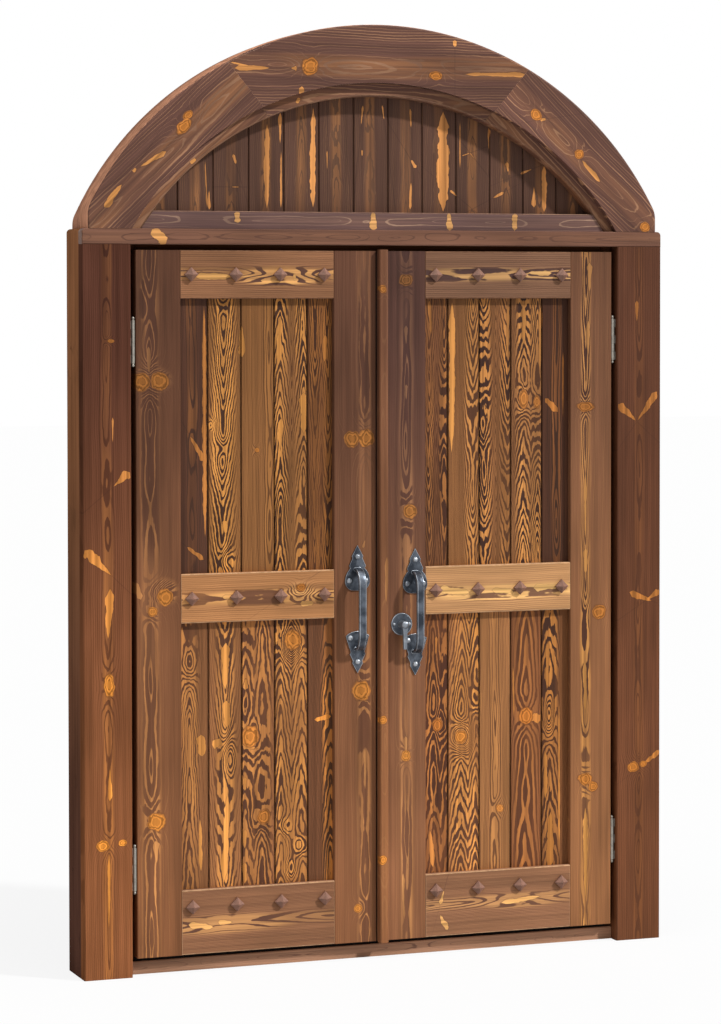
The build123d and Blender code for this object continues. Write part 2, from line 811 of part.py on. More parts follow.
# Grip of a pull, bent outwards from both plates, its long arrises eased
grip_root = pull_plate_thickness / 2
grip_out = pull_grip_stand_off - pull_grip_thickness / 2
grip_root_z = pull_length / 2 - pull_grip_from_tip
with BuildPart() as grip:
    with BuildSketch(Plane(origin=(0, 0, 0), x_dir=(0, -1, 0), z_dir=(-1, 0, 0))):
        with BuildLine():
            upper = Line((grip_root, grip_root_z), (grip_out - pull_grip_bend, grip_root_z))
            upper_bend = JernArc(upper @ 1, (1, 0), pull_grip_bend, -90)
            lower_start = (grip_out, pull_grip_bend - grip_root_z)
            lower_bend = JernArc(lower_start, (0, -1), pull_grip_bend, -90)
            Line(upper_bend @ 1, lower_bend @ 0)
            Line(lower_bend @ 1, (grip_root, -grip_root_z))
        trace(line_width=pull_grip_thickness)
    extrude(amount=pull_grip_width / 2, both=True)
    sides = grip.faces().filter_by(Axis.X)
    chamfer(sides.edges().filter_by(lambda edge: edge.center().Y < -grip_root), pull_grip_arris)

# Forged pulls: two plates with the grip between them, and their screws
plates = {
    1: (pull_upper_plate_height, pull_upper_plate_half_width, False),
    -1: (pull_lower_plate_height, pull_lower_plate_half_width, True),
}
for sign, (x, z) in pull_places.items():
    with BuildPart() as pull:
        for end, (reach, wide, squared) in plates.items():
            tip = Plane(
                origin=(x, leaf_front_y, z + end * pull_length / 2),
                x_dir=(1, 0, 0),
                z_dir=(0, -1, 0),
            )
            with BuildSketch(tip):
                plate(-end, reach, wide, squared)
            extrude(amount=pull_plate_thickness)
        with Locations((x, leaf_front_y, z)):
            add(grip.part)
        with BuildSketch(facing(leaf_front_y - pull_plate_thickness)):
            with Locations(*pull_screw_places(x, z)):
                Circle(screw_shank_radius + screw_clearance)
        extrude(amount=-pull_plate_thickness, mode=Mode.SUBTRACT)
    save(pull, f"{side_of(sign)}_pull")

    pull_screw = dome_screw(dome_radius, dome_height, pull_plate_thickness + screw_entry)
    with BuildPart() as pull_screws:
        with Locations(facing(leaf_front_y - pull_plate_thickness)):
            with Locations(*pull_screw_places(x, z)):
                add(pull_screw)
    save(pull_screws, f"{side_of(sign)}_pull_screws")

# Rose and its two screws
with BuildPart() as rose:
    with BuildSketch(facing(leaf_front_y)):
        with Locations((latch_x, latch_z)):
            Circle(rose_radius)
            Circle(boss_radius + boss_bore_clearance, mode=Mode.SUBTRACT)
        with Locations(*rose_screw_places):
            Circle(screw_shank_radius + screw_clearance, mode=Mode.SUBTRACT)
    extrude(amount=rose_thickness)
    front_face = rose.faces().sort_by(Axis.Y)[0]
    rim = front_face.edges().filter_by(GeomType.CIRCLE).sort_by(SortBy.RADIUS)[-1]
    chamfer(rim, rose_thickness / 3)
save(rose, "rose")

rose_screw = dome_screw(rose_dome_radius, rose_dome_height, rose_thickness + screw_entry)
with BuildPart() as rose_screws:
    with Locations(facing(leaf_front_y - rose_thickness)):
        with Locations(*rose_screw_places):
            add(rose_screw)
save(rose_screws, "rose_screws")

# Turn lever: hanging arm, boss through the rose and square spindle into the latch
cam_front_y = leaf_middle_y - bolt_thickness / 2
bolt_tail_y = (leaf_middle_y + bolt_thickness / 2 - bolt_tail_thickness, leaf_middle_y + bolt_thickness / 2)
cam_back_y = bolt_tail_y[0] - bolt_running_gap
with BuildPart() as turn_lever:
    with BuildSketch(facing(lever_front_y + lever_thickness)) as arm:
        with Locations((latch_x, latch_z)):
            Circle(boss_radius)
        with BuildLine():
            Polyline(
                (latch_x - lever_top_width / 2, latch_z),
                (latch_x - lever_waist_width / 2, latch_z - lever_waist_below),
                (latch_x - lever_tip_width / 2, latch_z - lever_length),
                (latch_x + lever_tip_width / 2, latch_z - lever_length),
                (latch_x + lever_waist_width / 2, latch_z - lever_waist_below),
                (latch_x + lever_top_width / 2, latch_z),
                close=True,
            )
        make_face()
        fillet(arm.vertices().group_by(Axis.Y)[0], lever_tip_width / 3)
    extrude(amount=lever_thickness)
    with Locations(facing(lever_front_y)):
        with Locations((latch_x, latch_z)):
            add(dome(boss_radius, lever_dome_height))
    with BuildSketch(facing(lever_front_y + lever_thickness)):
        with Locations((latch_x, latch_z)):
            Circle(boss_radius)
    boss_end_y = leaf_front_y - joint_clearance
    extrude(amount=lever_front_y + lever_thickness - boss_end_y)
    with BuildSketch(facing(boss_end_y)):
        with Locations((latch_x, latch_z)):
            Rectangle(spindle_side, spindle_side)
    extrude(amount=boss_end_y - cam_back_y)
save(turn_lever, "turn_lever")

# Cam on the spindle: its pin swings below the spindle and draws the bolt
pin_swing = cam_pin_orbit * sin(radians(45))
with BuildPart() as latch_cam:
    with BuildSketch(facing(cam_front_y)):
        with Locations((latch_x, latch_z)):
            Circle(cam_radius)
            hole_side = spindle_side + 2 * screw_clearance
            Rectangle(hole_side, hole_side, mode=Mode.SUBTRACT)
    extrude(amount=cam_front_y - cam_back_y)
    with BuildSketch(facing(cam_back_y)):
        with Locations((latch_x + pin_swing, latch_z - pin_swing)):
            Circle(cam_pin_radius)
    extrude(amount=cam_back_y - bolt_tail_y[1])
save(latch_cam, "latch_cam")

# Bolt: a full head in the forend and a thin tail with the cam's slot
head_start = right_meeting_x + bolt_running_gap
head_end = head_start + bolt_head_length
slot_half = cam_pin_radius + cam_slot_play
tail_end = latch_x + pin_swing + slot_half + bolt_tail_end_play
with BuildPart() as latch_bolt:
    head_z = (latch_z - bolt_height / 2, latch_z + bolt_height / 2)
    block((head_start, head_end), (cam_front_y, bolt_tail_y[1]), head_z)
    nose = latch_bolt.faces().sort_by(Axis.X)[0].edges()
    chamfer(nose, bolt_running_gap)
    tail_low = latch_z - cam_pin_orbit - slot_half - bolt_tail_end_play
    block((head_end, tail_end), bolt_tail_y, (tail_low, latch_z + bolt_height / 2))
    slot_z = (latch_z - cam_pin_orbit - slot_half, latch_z - pin_swing + slot_half)
    slot_x = latch_x + pin_swing
    block((slot_x - slot_half, slot_x + slot_half), bolt_tail_y, slot_z, Mode.SUBTRACT)
save(latch_bolt, "latch_bolt")

# Latch case with its forend, hollow for bolt and cam
with BuildPart() as latch_case:
    block(case_x, case_y, case_z)
    block((right_meeting_x, case_x[0]), forend_y, forend_z)
    block(
        (case_x[0], case_x[1] - case_wall),
        (case_y[0] + case_wall, case_y[1] - case_wall),
        (case_z[0] + case_wall, case_z[1] - case_wall),
        Mode.SUBTRACT,
    )
    block(
        (right_meeting_x, case_x[0]),
        (cam_front_y - bolt_running_gap, bolt_tail_y[1] + bolt_running_gap),
        grown(head_z, bolt_running_gap),
        Mode.SUBTRACT,
    )
    with BuildSketch(facing(case_y[0])):
        with Locations((latch_x, latch_z)):
            Circle(spindle_hole_radius)
    extrude(amount=-case_wall, mode=Mode.SUBTRACT)
save(latch_case, "latch_case")

with BuildPart() as strike_plate:
    block(strike_x, forend_y, forend_z)
    block(strike_x, strike_hole_y, strike_hole_z, Mode.SUBTRACT)
save(strike_plate, "strike_plate")


# Butt hinges, two to a leaf
def knuckle_span(centre_z, number):
    """Low and high end of one knuckle, counted from the bottom of the barrel."""
    low = centre_z - barrel_length / 2 + number * (knuckle_length + knuckle_gap)
    return (low, low + knuckle_length)


def hinge_half(sign, centre_z, plate_x, numbers):
    """A hinge plate and its knuckles, bored for the pin, added to the open part."""
    plate_z = (centre_z - barrel_length / 2, centre_z + barrel_length / 2)
    block((sign * plate_x[0], sign * plate_x[1]), plate_y, plate_z)
    for number in numbers:
        span = knuckle_span(centre_z, number)
        tab_y = (hinge_y, plate_y[0])
        block((sign * plate_x[0], sign * plate_x[1]), tab_y, span)
        near = plate_x[0] if plate_x[0] > hinge_x else plate_x[1]
        block((sign * hinge_x, sign * near), (hinge_y, hinge_y + hinge_plate_thickness), span)
        with BuildSketch(Plane.XY.offset(span[0])) as knuckle:
            with Locations((sign * hinge_x, hinge_y)):
                Circle(knuckle_radius)
        extrude(knuckle.sketch, amount=knuckle_length)
    with BuildSketch(Plane.XY.offset(plate_z[0])) as bore:
        with Locations((sign * hinge_x, hinge_y)):
            Circle(pin_radius + pin_running_gap)
    extrude(bore.sketch, amount=barrel_length, mode=Mode.SUBTRACT)


def countersunk_screw():
    """A slotted wood screw along Z, its flat head level with the plane z = 0."""
    cone_depth = (hinge_screw_head_radius - hinge_screw_shank_radius) / tan(
        radians(hinge_screw_angle / 2)
    )
    with BuildPart() as screw:
        with BuildSketch(Plane.XZ):
            Polygon(
                (0, 0),
                (hinge_screw_head_radius, 0),
                (hinge_screw_shank_radius, -cone_depth),
                (hinge_screw_shank_radius, -hinge_screw_length),
                (0, -hinge_screw_length),
                align=None,
            )
        revolve(axis=Axis.Z)
        slot_depth = hinge_screw_slot_depth
        Box(
            2 * hinge_screw_head_radius,
            hinge_screw_slot_width,
            2 * slot_depth,
            mode=Mode.SUBTRACT,
        )
    return screw.part


def countersink(sign, plate_x):
    """Countersink the screw holes of both plates in the open part."""
    with Locations(*hinge_screw_planes(sign, plate_x)):
        CounterSinkHole(
            hinge_screw_shank_radius + screw_clearance,
            hinge_screw_head_radius + screw_clearance,
            hinge_plate_thickness,
            hinge_screw_angle,
        )


hinge_screw = countersunk_screw()
for sign in (-1, 1):
    for owner, plate_x in (("frame", frame_plate_x), ("leaf", leaf_plate_x)):
        with BuildPart() as hinge_screws:
            with Locations(*hinge_screw_planes(sign, plate_x)):
                add(hinge_screw)
        save(hinge_screws, f"{side_of(sign)}_hinge_{owner}_screws")

    with BuildPart() as frame_plates:
        for centre_z in hinge_heights:
            hinge_half(sign, centre_z, frame_plate_x, range(0, knuckles_per_hinge, 2))
        countersink(sign, frame_plate_x)
    save(frame_plates, f"{side_of(sign)}_hinge_frame_plates")

    with BuildPart() as leaf_plates:
        for centre_z in hinge_heights:
            hinge_half(sign, centre_z, leaf_plate_x, range(1, knuckles_per_hinge, 2))
        countersink(sign, leaf_plate_x)
    save(leaf_plates, f"{side_of(sign)}_hinge_leaf_plates")

    with BuildPart() as hinge_pins:
        for centre_z in hinge_heights:
            low = centre_z - barrel_length / 2
            with BuildSketch(Plane.XY.offset(low)):
                with Locations((sign * hinge_x, hinge_y)):
                    Circle(pin_radius)
            extrude(amount=barrel_length)
            for end, way in ((low, -1), (low + barrel_length, 1)):
                with BuildSketch(Plane.XY.offset(end)):
                    with Locations((sign * hinge_x, hinge_y)):
                        Circle(finial_radius)
                extrude(amount=way * finial_neck)
                with Locations((sign * hinge_x, hinge_y, end + way * (finial_neck + finial_radius))):
                    Sphere(finial_radius)
                with BuildSketch(Plane.XY.offset(end + way * finial_neck)):
                    with Locations((sign * hinge_x, hinge_y)):
                        Circle(pin_radius)
                extrude(amount=way * finial_radius)
    save(hinge_pins, f"{side_of(sign)}_hinge_pins")
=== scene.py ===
import math

import bpy
from mathutils import Matrix, Vector


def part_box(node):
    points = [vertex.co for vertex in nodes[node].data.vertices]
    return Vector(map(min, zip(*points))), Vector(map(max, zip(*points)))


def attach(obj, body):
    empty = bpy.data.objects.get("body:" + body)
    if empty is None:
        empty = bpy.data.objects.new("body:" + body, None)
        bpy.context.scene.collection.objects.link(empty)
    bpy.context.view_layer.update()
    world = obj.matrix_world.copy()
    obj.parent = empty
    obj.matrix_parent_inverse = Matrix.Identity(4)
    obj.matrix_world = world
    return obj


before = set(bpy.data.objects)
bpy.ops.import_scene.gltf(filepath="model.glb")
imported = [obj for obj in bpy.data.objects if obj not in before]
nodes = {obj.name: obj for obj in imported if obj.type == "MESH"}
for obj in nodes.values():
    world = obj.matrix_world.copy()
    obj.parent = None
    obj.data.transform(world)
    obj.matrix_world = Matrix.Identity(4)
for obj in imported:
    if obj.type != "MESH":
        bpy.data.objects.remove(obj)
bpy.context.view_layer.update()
scene = bpy.context.scene

# Camera, as fitted to the photograph
CAMERA_PLACE = (-3.3595, -8.9403, 1.9332)
CAMERA_RIGHT = (0.93724, -0.34870, -0.00103)
CAMERA_UP = (0.01225, 0.02999, 0.99948)
CAMERA_FORWARD = (0.34848, 0.93676, -0.03238)
CAMERA_LENS = 113.9
CAMERA_SENSOR = 36.0
CAMERA_SHIFT_Y = -0.1033
CAMERA_REACH = 200.0

# Light: which way each lamp shines, its strength, and its angle in degrees, which softens the shadows
SUN_TRAVEL = (-1.15, 1.0, -1.25)
SUN_STRENGTH = 3.4
SUN_ANGLE = 3.5
TOP_TRAVEL = (0.12, 0.30, -1.0)
TOP_STRENGTH = 1.3
TOP_ANGLE = 40.0
SKY_STRENGTH = 0.30

# Floor: half its width, its grey, and how much of its own white the camera sees in it
FLOOR_REACH = 40.0
FLOOR_GREY = 0.66
FLOOR_GLOW = 0.86

# Depth of the brushed grain and of the hammer's marks, and how strongly both show
GRAIN_DEPTH = 0.0009
DENT_DEPTH = 0.0022
BUMP_STRENGTH = 0.5


class Graph:
    """Short calls that add shader nodes to one tree and link them."""

    def __init__(self, tree):
        self.tree = tree

    def add(self, kind, **settings):
        node = self.tree.nodes.new(kind)
        for name, value in settings.items():
            setattr(node, name, value)
        return node

    def put(self, value, socket):
        """Link an output to a socket, or write a plain value on it."""
        if isinstance(value, bpy.types.NodeSocket):
            self.tree.links.new(value, socket)
        elif value is not None:
            socket.default_value = value

    def math(self, operation, *values):
        node = self.add("ShaderNodeMath", operation=operation)
        for value, socket in zip(values, node.inputs):
            self.put(value, socket)
        return node.outputs[0]

    def vector(self, operation, *values):
        node = self.add("ShaderNodeVectorMath", operation=operation)
        for value, socket in zip(values, node.inputs):
            self.put(value, socket)
        return node.outputs["Value" if operation == "DOT_PRODUCT" else "Vector"]

    def combine(self, x, y, z):
        node = self.add("ShaderNodeCombineXYZ")
        for value, socket in zip((x, y, z), node.inputs):
            self.put(value, socket)
        return node.outputs[0]

    def split(self, vector):
        node = self.add("ShaderNodeSeparateXYZ")
        self.put(vector, node.inputs[0])
        return node.outputs

    def noise(self, vector, scale=1.0, detail=0.0, roughness=0.5):
        node = self.add("ShaderNodeTexNoise", noise_dimensions="3D")
        self.put(vector, node.inputs["Vector"])
        self.put(scale, node.inputs["Scale"])
        self.put(detail, node.inputs["Detail"])
        self.put(roughness, node.inputs["Roughness"])
        return node.outputs["Fac"]

    def smooth(self, value, low, high, first=0.0, last=1.0):
        """0 to 1 as the value passes from low to high."""
        node = self.add("ShaderNodeMapRange", interpolation_type="SMOOTHSTEP")
        for item, socket in zip((value, low, high, first, last), node.inputs):
            self.put(item, socket)
        return node.outputs[0]

    def mix(self, factor, first, second, blend="MIX"):
        node = self.add("ShaderNodeMix", data_type="RGBA", blend_type=blend)
        self.put(factor, node.inputs["Factor"])
        self.put(first, node.inputs["A"])
        self.put(second, node.inputs["B"])
        return node.outputs["Result"]


def rgb(red, green, blue):
    """A shader colour from the 0 to 255 values it has on screen."""

    def straight(value):
        value /= 255
        return value / 12.92 if value <= 0.04045 else ((value + 0.055) / 1.055) ** 2.4

    return (straight(red), straight(green), straight(blue), 1.0)


def new_material(name):
    """A material with nodes: itself, its graph and its shader."""
    material = bpy.data.materials.new(name)
    material.use_nodes = True
    return material, Graph(material.node_tree), material.node_tree.nodes["Principled BSDF"]


def new_group(name, inputs, outputs):
    """A node group with these sockets, ready to fill."""
    tree = bpy.data.node_groups.new(name, "ShaderNodeTree")
    kinds = {"f": "NodeSocketFloat", "v": "NodeSocketVector", "c": "NodeSocketColor"}
    for label, kind in inputs:
        tree.interface.new_socket(label, in_out="INPUT", socket_type=kinds[kind])
    for label, kind in outputs:
        tree.interface.new_socket(label, in_out="OUTPUT", socket_type=kinds[kind])
    graph = Graph(tree)
    return tree, graph, graph.add("NodeGroupInput").outputs, graph.add("NodeGroupOutput").inputs


def gaussian(g, along, across, centre_along, centre_across, length, width):
    """A bell over the surface, 1 at its centre."""
    one = g.math("DIVIDE", g.math("SUBTRACT", along, centre_along), length)
    two = g.math("DIVIDE", g.math("SUBTRACT", across, centre_across), width)
    square = g.math("ADD", g.math("MULTIPLY", one, one), g.math("MULTIPLY", two, two))
    return g.math("EXPONENT", g.math("MULTIPLY", square, -1.0))


def make_swirl_group():
    """Grain that closes into loops round a place: rings to add to the grain's own."""
    floats = ("Along", "Across", "Centre along", "Centre across", "Length", "Width", "Rings")
    tree, g, have, out = new_group("swirl", [(n, "f") for n in floats], [("Bend", "f"), ("Near", "f")])
    bell = gaussian(g, *(have[n] for n in floats[:6]))
    g.put(g.math("MULTIPLY", bell, have["Rings"]), out["Bend"])
    g.put(g.smooth(bell, 0.12, 0.5), out["Near"])
    return tree


def make_knot_group():
    """A knot: grain bent round it, and its own rings inside."""
    floats = ("Along", "Across", "Centre along", "Centre across", "Size", "Stretch")
    outs = [("Bend", "f"), ("Core", "f"), ("Reach", "f")]
    tree, g, have, out = new_group("knot", [(n, "f") for n in floats], outs)
    place = g.combine(have["Across"], have["Centre along"], have["Along"])
    uneven = g.math("SUBTRACT", g.noise(place, 60.0, 1.0), 0.5)
    long = g.math("MULTIPLY", have["Size"], have["Stretch"])
    one = g.math("DIVIDE", g.math("SUBTRACT", have["Along"], have["Centre along"]), long)
    two = g.math("DIVIDE", g.math("SUBTRACT", have["Across"], have["Centre across"]), have["Size"])
    square = g.math("ADD", g.math("MULTIPLY", one, one), g.math("MULTIPLY", two, two))
    reach = g.math("ADD", g.math("SQRT", square), g.math("MULTIPLY", uneven, 0.55))
    spread = g.math("MULTIPLY", g.math("MULTIPLY", reach, reach), -0.30)
    g.put(g.math("MULTIPLY", g.math("EXPONENT", spread), 2.8), out["Bend"])
    g.put(g.smooth(reach, 1.12, 0.86), out["Core"])
    g.put(reach, out["Reach"])
    return tree


def make_flame_group():
    """A tapering patch of clear amber wood between two places, with ragged sides and pointed ends."""
    floats = ("Along", "Across", "Start along", "Start across", "End along", "End across", "First", "Last")
    outs = [("Inside", "f"), ("Rim", "f")]
    tree, g, have, out = new_group("flame", [(n, "f") for n in floats], outs)
    px = g.math("SUBTRACT", have["Along"], have["Start along"])
    py = g.math("SUBTRACT", have["Across"], have["Start across"])
    bx = g.math("SUBTRACT", have["End along"], have["Start along"])
    by = g.math("SUBTRACT", have["End across"], have["Start across"])
    dot = g.math("ADD", g.math("MULTIPLY", px, bx), g.math("MULTIPLY", py, by))
    size = g.math("ADD", g.math("MULTIPLY", bx, bx), g.math("MULTIPLY", by, by))
    t = g.math("DIVIDE", dot, size)
    beside = g.math("SUBTRACT", g.math("MULTIPLY", px, by), g.math("MULTIPLY", py, bx))
    away = g.math("DIVIDE", g.math("ABSOLUTE", beside), g.math("SQRT", size))
    width = g.smooth(t, -0.1, 1.1, have["First"], have["Last"])
    ends = g.math("ABSOLUTE", g.math("SUBTRACT", g.math("MULTIPLY", t, 2.0), 1.0))
    width = g.math("MULTIPLY", width, g.smooth(ends, 1.12, 0.62, -0.25, 1.0))
    spot = g.combine(g.math("MULTIPLY", have["Across"], 60.0), 0.0, g.math("MULTIPLY", have["Along"], 26.0))
    ragged = g.math("SUBTRACT", g.noise(spot, 1.0, 2.0, 0.5), 0.5)
    inside = g.math("ADD", width, g.math("MULTIPLY", ragged, g.math("MULTIPLY", width, 2.0)))
    inside = g.math("SUBTRACT", inside, away)
    g.put(g.smooth(inside, -0.0004, 0.0009), out["Inside"])
    g.put(g.smooth(inside, -0.0030, -0.0004), out["Rim"])
    return tree


SHADES = ("Ground", "Line", "Gold", "Night", "Knot")


def make_wood_group():
    """Brushed softwood under a dark stain: rings about two wandering piths, cut by the surface."""
    floats = ("Across", "Depth", "Along", "Height", "Seed", "Bend", "Near", "Spacing", "Pith")
    floats += ("Second pith", "Arches", "Sway", "Taper", "Share", "Loud share", "Column", "Strength")
    floats += ("Lift", "Ragged", "Knot core", "Knot reach", "Flame", "Flame rim")
    inputs = [(name, "f") for name in floats] + [(name, "c") for name in SHADES]
    outputs = [("Colour", "c"), ("Roughness", "f"), ("Height", "f")]
    tree, g, have, out = new_group("wood", inputs, outputs)
    across, depth, along, seed = have["Across"], have["Depth"], have["Along"], have["Seed"]
    place = g.combine(across, depth, along)
    shift = g.combine(seed, g.math("MULTIPLY", seed, 1.7), g.math("MULTIPLY", seed, 0.6))

    def field(stretch, detail=0.0, offset=0.0):
        """Noise stretched along the grain, about zero."""
        spot = g.vector("ADD", g.vector("MULTIPLY", place, stretch), shift)
        if offset:
            spot = g.vector("ADD", spot, (offset, offset * 2.0, offset * 3.0))
        return g.math("SUBTRACT", g.noise(spot, 1.0, detail), 0.5)

    def added(*terms):
        total = terms[0]
        for term in terms[1:]:
            total = g.math("ADD", total, term)
        return total

    def times(value, factor):
        return g.math("MULTIPLY", value, factor)

    def beside(centre, offset):
        """Distance to the side of a wandering pith, and the arches that follow each other along it."""
        aside = added(
            times(field((0.0, 0.0, 2.2), 1.0, offset), 2.0),
            times(field((0.0, 0.0, 11.0), 0.0, offset + 4.0), 0.55),
        )
        x = added(g.math("SUBTRACT", across, centre), times(aside, have["Sway"]))
        away = g.math("SQRT", added(times(x, x), 0.000012))
        arches = added(
            times(field((0.0, 0.0, 2.6), 1.0, offset + 7.0), 2.4),
            times(field((0.0, 0.0, 7.5), 0.0, offset + 9.0), 0.9),
        )
        narrow = g.math("DIVIDE", x, times(have["Column"], 0.50))
        bell = g.math("EXPONENT", times(times(narrow, narrow), -1.0))
        return away, times(times(arches, bell), have["Arches"])

    first, first_arches = beside(have["Pith"], 3.0)
    second, second_arches = beside(have["Second pith"], 23.0)
    radius = g.math("SMOOTH_MIN", first, second, 0.006)
    outer = g.math("MAXIMUM", g.math("SUBTRACT", radius, have["Column"]), 0.0)
    ring = added(
        g.math("DIVIDE", added(radius, outer), have["Spacing"]),
        first_arches,
        second_arches,
        times(along, have["Taper"]),
        have["Bend"],
        times(field((24.0, 24.0, 3.0), 1.0, 5.0), 0.9),
        times(times(field((75.0, 75.0, 26.0), 1.0, 15.0), 0.95), have["Ragged"]),
        times(times(field((220.0, 220.0, 60.0), 1.0), 0.34), have["Ragged"]),
    )
    turn = g.math("FRACT", ring)
    which = g.add("ShaderNodeTexWhiteNoise", noise_dimensions="1D")
    g.put(g.math("ADD", g.math("FLOOR", ring), seed), which.inputs["W"])
    luck = g.math("SUBTRACT", which.outputs["Value"], 0.5)

    patch = g.smooth(field((8.0, 8.0, 2.6), 1.0, 21.0), -0.16, 0.06)
    column = g.smooth(radius, have["Column"], times(have["Column"], 0.50))
    column = times(column, g.math("ADD", times(patch, 0.7), 0.3))
    column = times(g.math("MAXIMUM", column, have["Near"]), have["Strength"])
    share = added(have["Share"], times(column, g.math("SUBTRACT", have["Loud share"], have["Share"])))
    share = added(share, times(luck, 0.30), times(field((30.0, 30.0, 4.0), 1.0, 13.0), 0.5))
    share = g.math("MINIMUM", g.math("MAXIMUM", share, 0.06), 0.9)
    start = g.math("SUBTRACT", 1.0, share)
    band = g.smooth(turn, g.math("SUBTRACT", start, 0.07), g.math("ADD", start, 0.05))
    band = times(band, g.smooth(turn, 1.0, 0.94))

    fibre = field((520.0, 520.0, 8.0), 1.0, 31.0)
    streak = field((95.0, 95.0, 1.5), 2.0, 37.0)
    cloud = field((10.0, 10.0, 2.4), 2.0, 41.0)
    quiet = g.mix(times(band, g.smooth(cloud, -0.1, 0.1, 0.55, 1.0)), have["Ground"], have["Line"])
    honey = g.mix(g.smooth(streak, -0.2, 0.2), g.mix(0.5, have["Gold"], have["Ground"]), have["Gold"])
    loud = g.mix(band, honey, have["Night"])
    colour = g.mix(column, quiet, loud)
    dull, clear = (times_colour(g, have["Gold"], part) for part in (0.55, 0.98))
    amber = g.mix(g.smooth(streak, -0.25, 0.25), dull, clear)
    colour = g.mix(times(have["Flame rim"], 0.4), colour, have["Night"])
    colour = g.mix(have["Flame"], colour, amber)

    reach = have["Knot reach"]
    inner = g.math("FRACT", added(times(reach, 2.6), times(streak, 1.5)))
    pale, deep, middle = (times_colour(g, have["Knot"], part) for part in (0.96, 0.42, 0.7))
    rings = g.mix(g.smooth(inner, 0.35, 0.75), pale, deep)
    heart = g.mix(g.smooth(reach, 0.30, 0.42), middle, rings)
    rim = g.mix(times(g.smooth(reach, 0.72, 1.0), 0.75), heart, times_colour(g, have["Night"], 0.9))
    colour = g.mix(have["Knot core"], colour, rim)

    grey = added(times(fibre, 0.34), times(streak, 0.80), times(cloud, 1.05), 1.0)
    # Lighter and warmer low down, darker high up, as much as the piece's Lift; a Lift below zero turns it
    # over, which on the left post's side is painted light, lighter at the top
    rise = g.smooth(have["Height"], 0.15, 2.0, 1.0, -1.0)
    rise = times(rise, have["Lift"])
    parts = [times(grey, g.math("ADD", times(rise, amount), 1.0)) for amount in (0.26, 0.25, 0.15)]
    colour = g.mix(1.0, colour, g.combine(*parts), "MULTIPLY")
    g.put(colour, out["Colour"])
    g.put(added(times(fibre, 0.3), times(cloud, 0.2), 0.5), out["Roughness"])
    height = added(times(band, -0.35), times(fibre, 0.7), times(have["Knot core"], 0.4))
    g.put(height, out["Height"])
    return tree


def times_colour(g, colour, factor):
    """A colour made lighter or darker by this factor."""
    return g.mix(1.0, colour, (factor, factor, factor, 1.0), "MULTIPLY")


swirl_group = make_swirl_group()
knot_group = make_knot_group()
flame_group = make_flame_group()
wood_group = make_wood_group()

KNOT_SHADE = (196, 124, 54)


def tone(*shades):
    """The stain colours of a piece, ground, line, gold and night, from the colours they have on screen."""
    return {name: rgb(*shade) for name, shade in zip(SHADES, (*shades, KNOT_SHADE))}


# Stains: plain wood, its ring lines, the pale bands and the dark bands
TONES = {
    "ring": tone((92, 63, 53), (146, 108, 80), (206, 142, 78), (64, 44, 38)),
    "jamb": tone((104, 64, 42), (88, 53, 34), (204, 132, 64), (72, 44, 32)),
    "stile": tone((114, 73, 48), (130, 87, 56), (176, 120, 72), (96, 60, 42)),
    "chain": tone((134, 90, 58), (156, 108, 66), (218, 154, 82), (82, 52, 38)),
    "bar": tone((128, 88, 60), (92, 60, 42), (214, 158, 92), (72, 48, 42)),
    "tan": tone((170, 120, 76), (132, 90, 56), (222, 166, 98), (92, 60, 46)),
    "gold": tone((138, 92, 50), (90, 56, 31), (212, 144, 70), (62, 39, 28)),
    "brown": tone((128, 84, 50), (92, 57, 35), (202, 136, 68), (68, 43, 32)),
    "dark": tone((82, 51, 36), (62, 40, 29), (190, 122, 60), (54, 35, 28)),
    "night": tone((78, 54, 42), (96, 68, 48), (208, 142, 78), (50, 35, 29)),
    "side": tone((84, 50, 32), (74, 44, 28), (130, 84, 50), (62, 38, 28)),
}

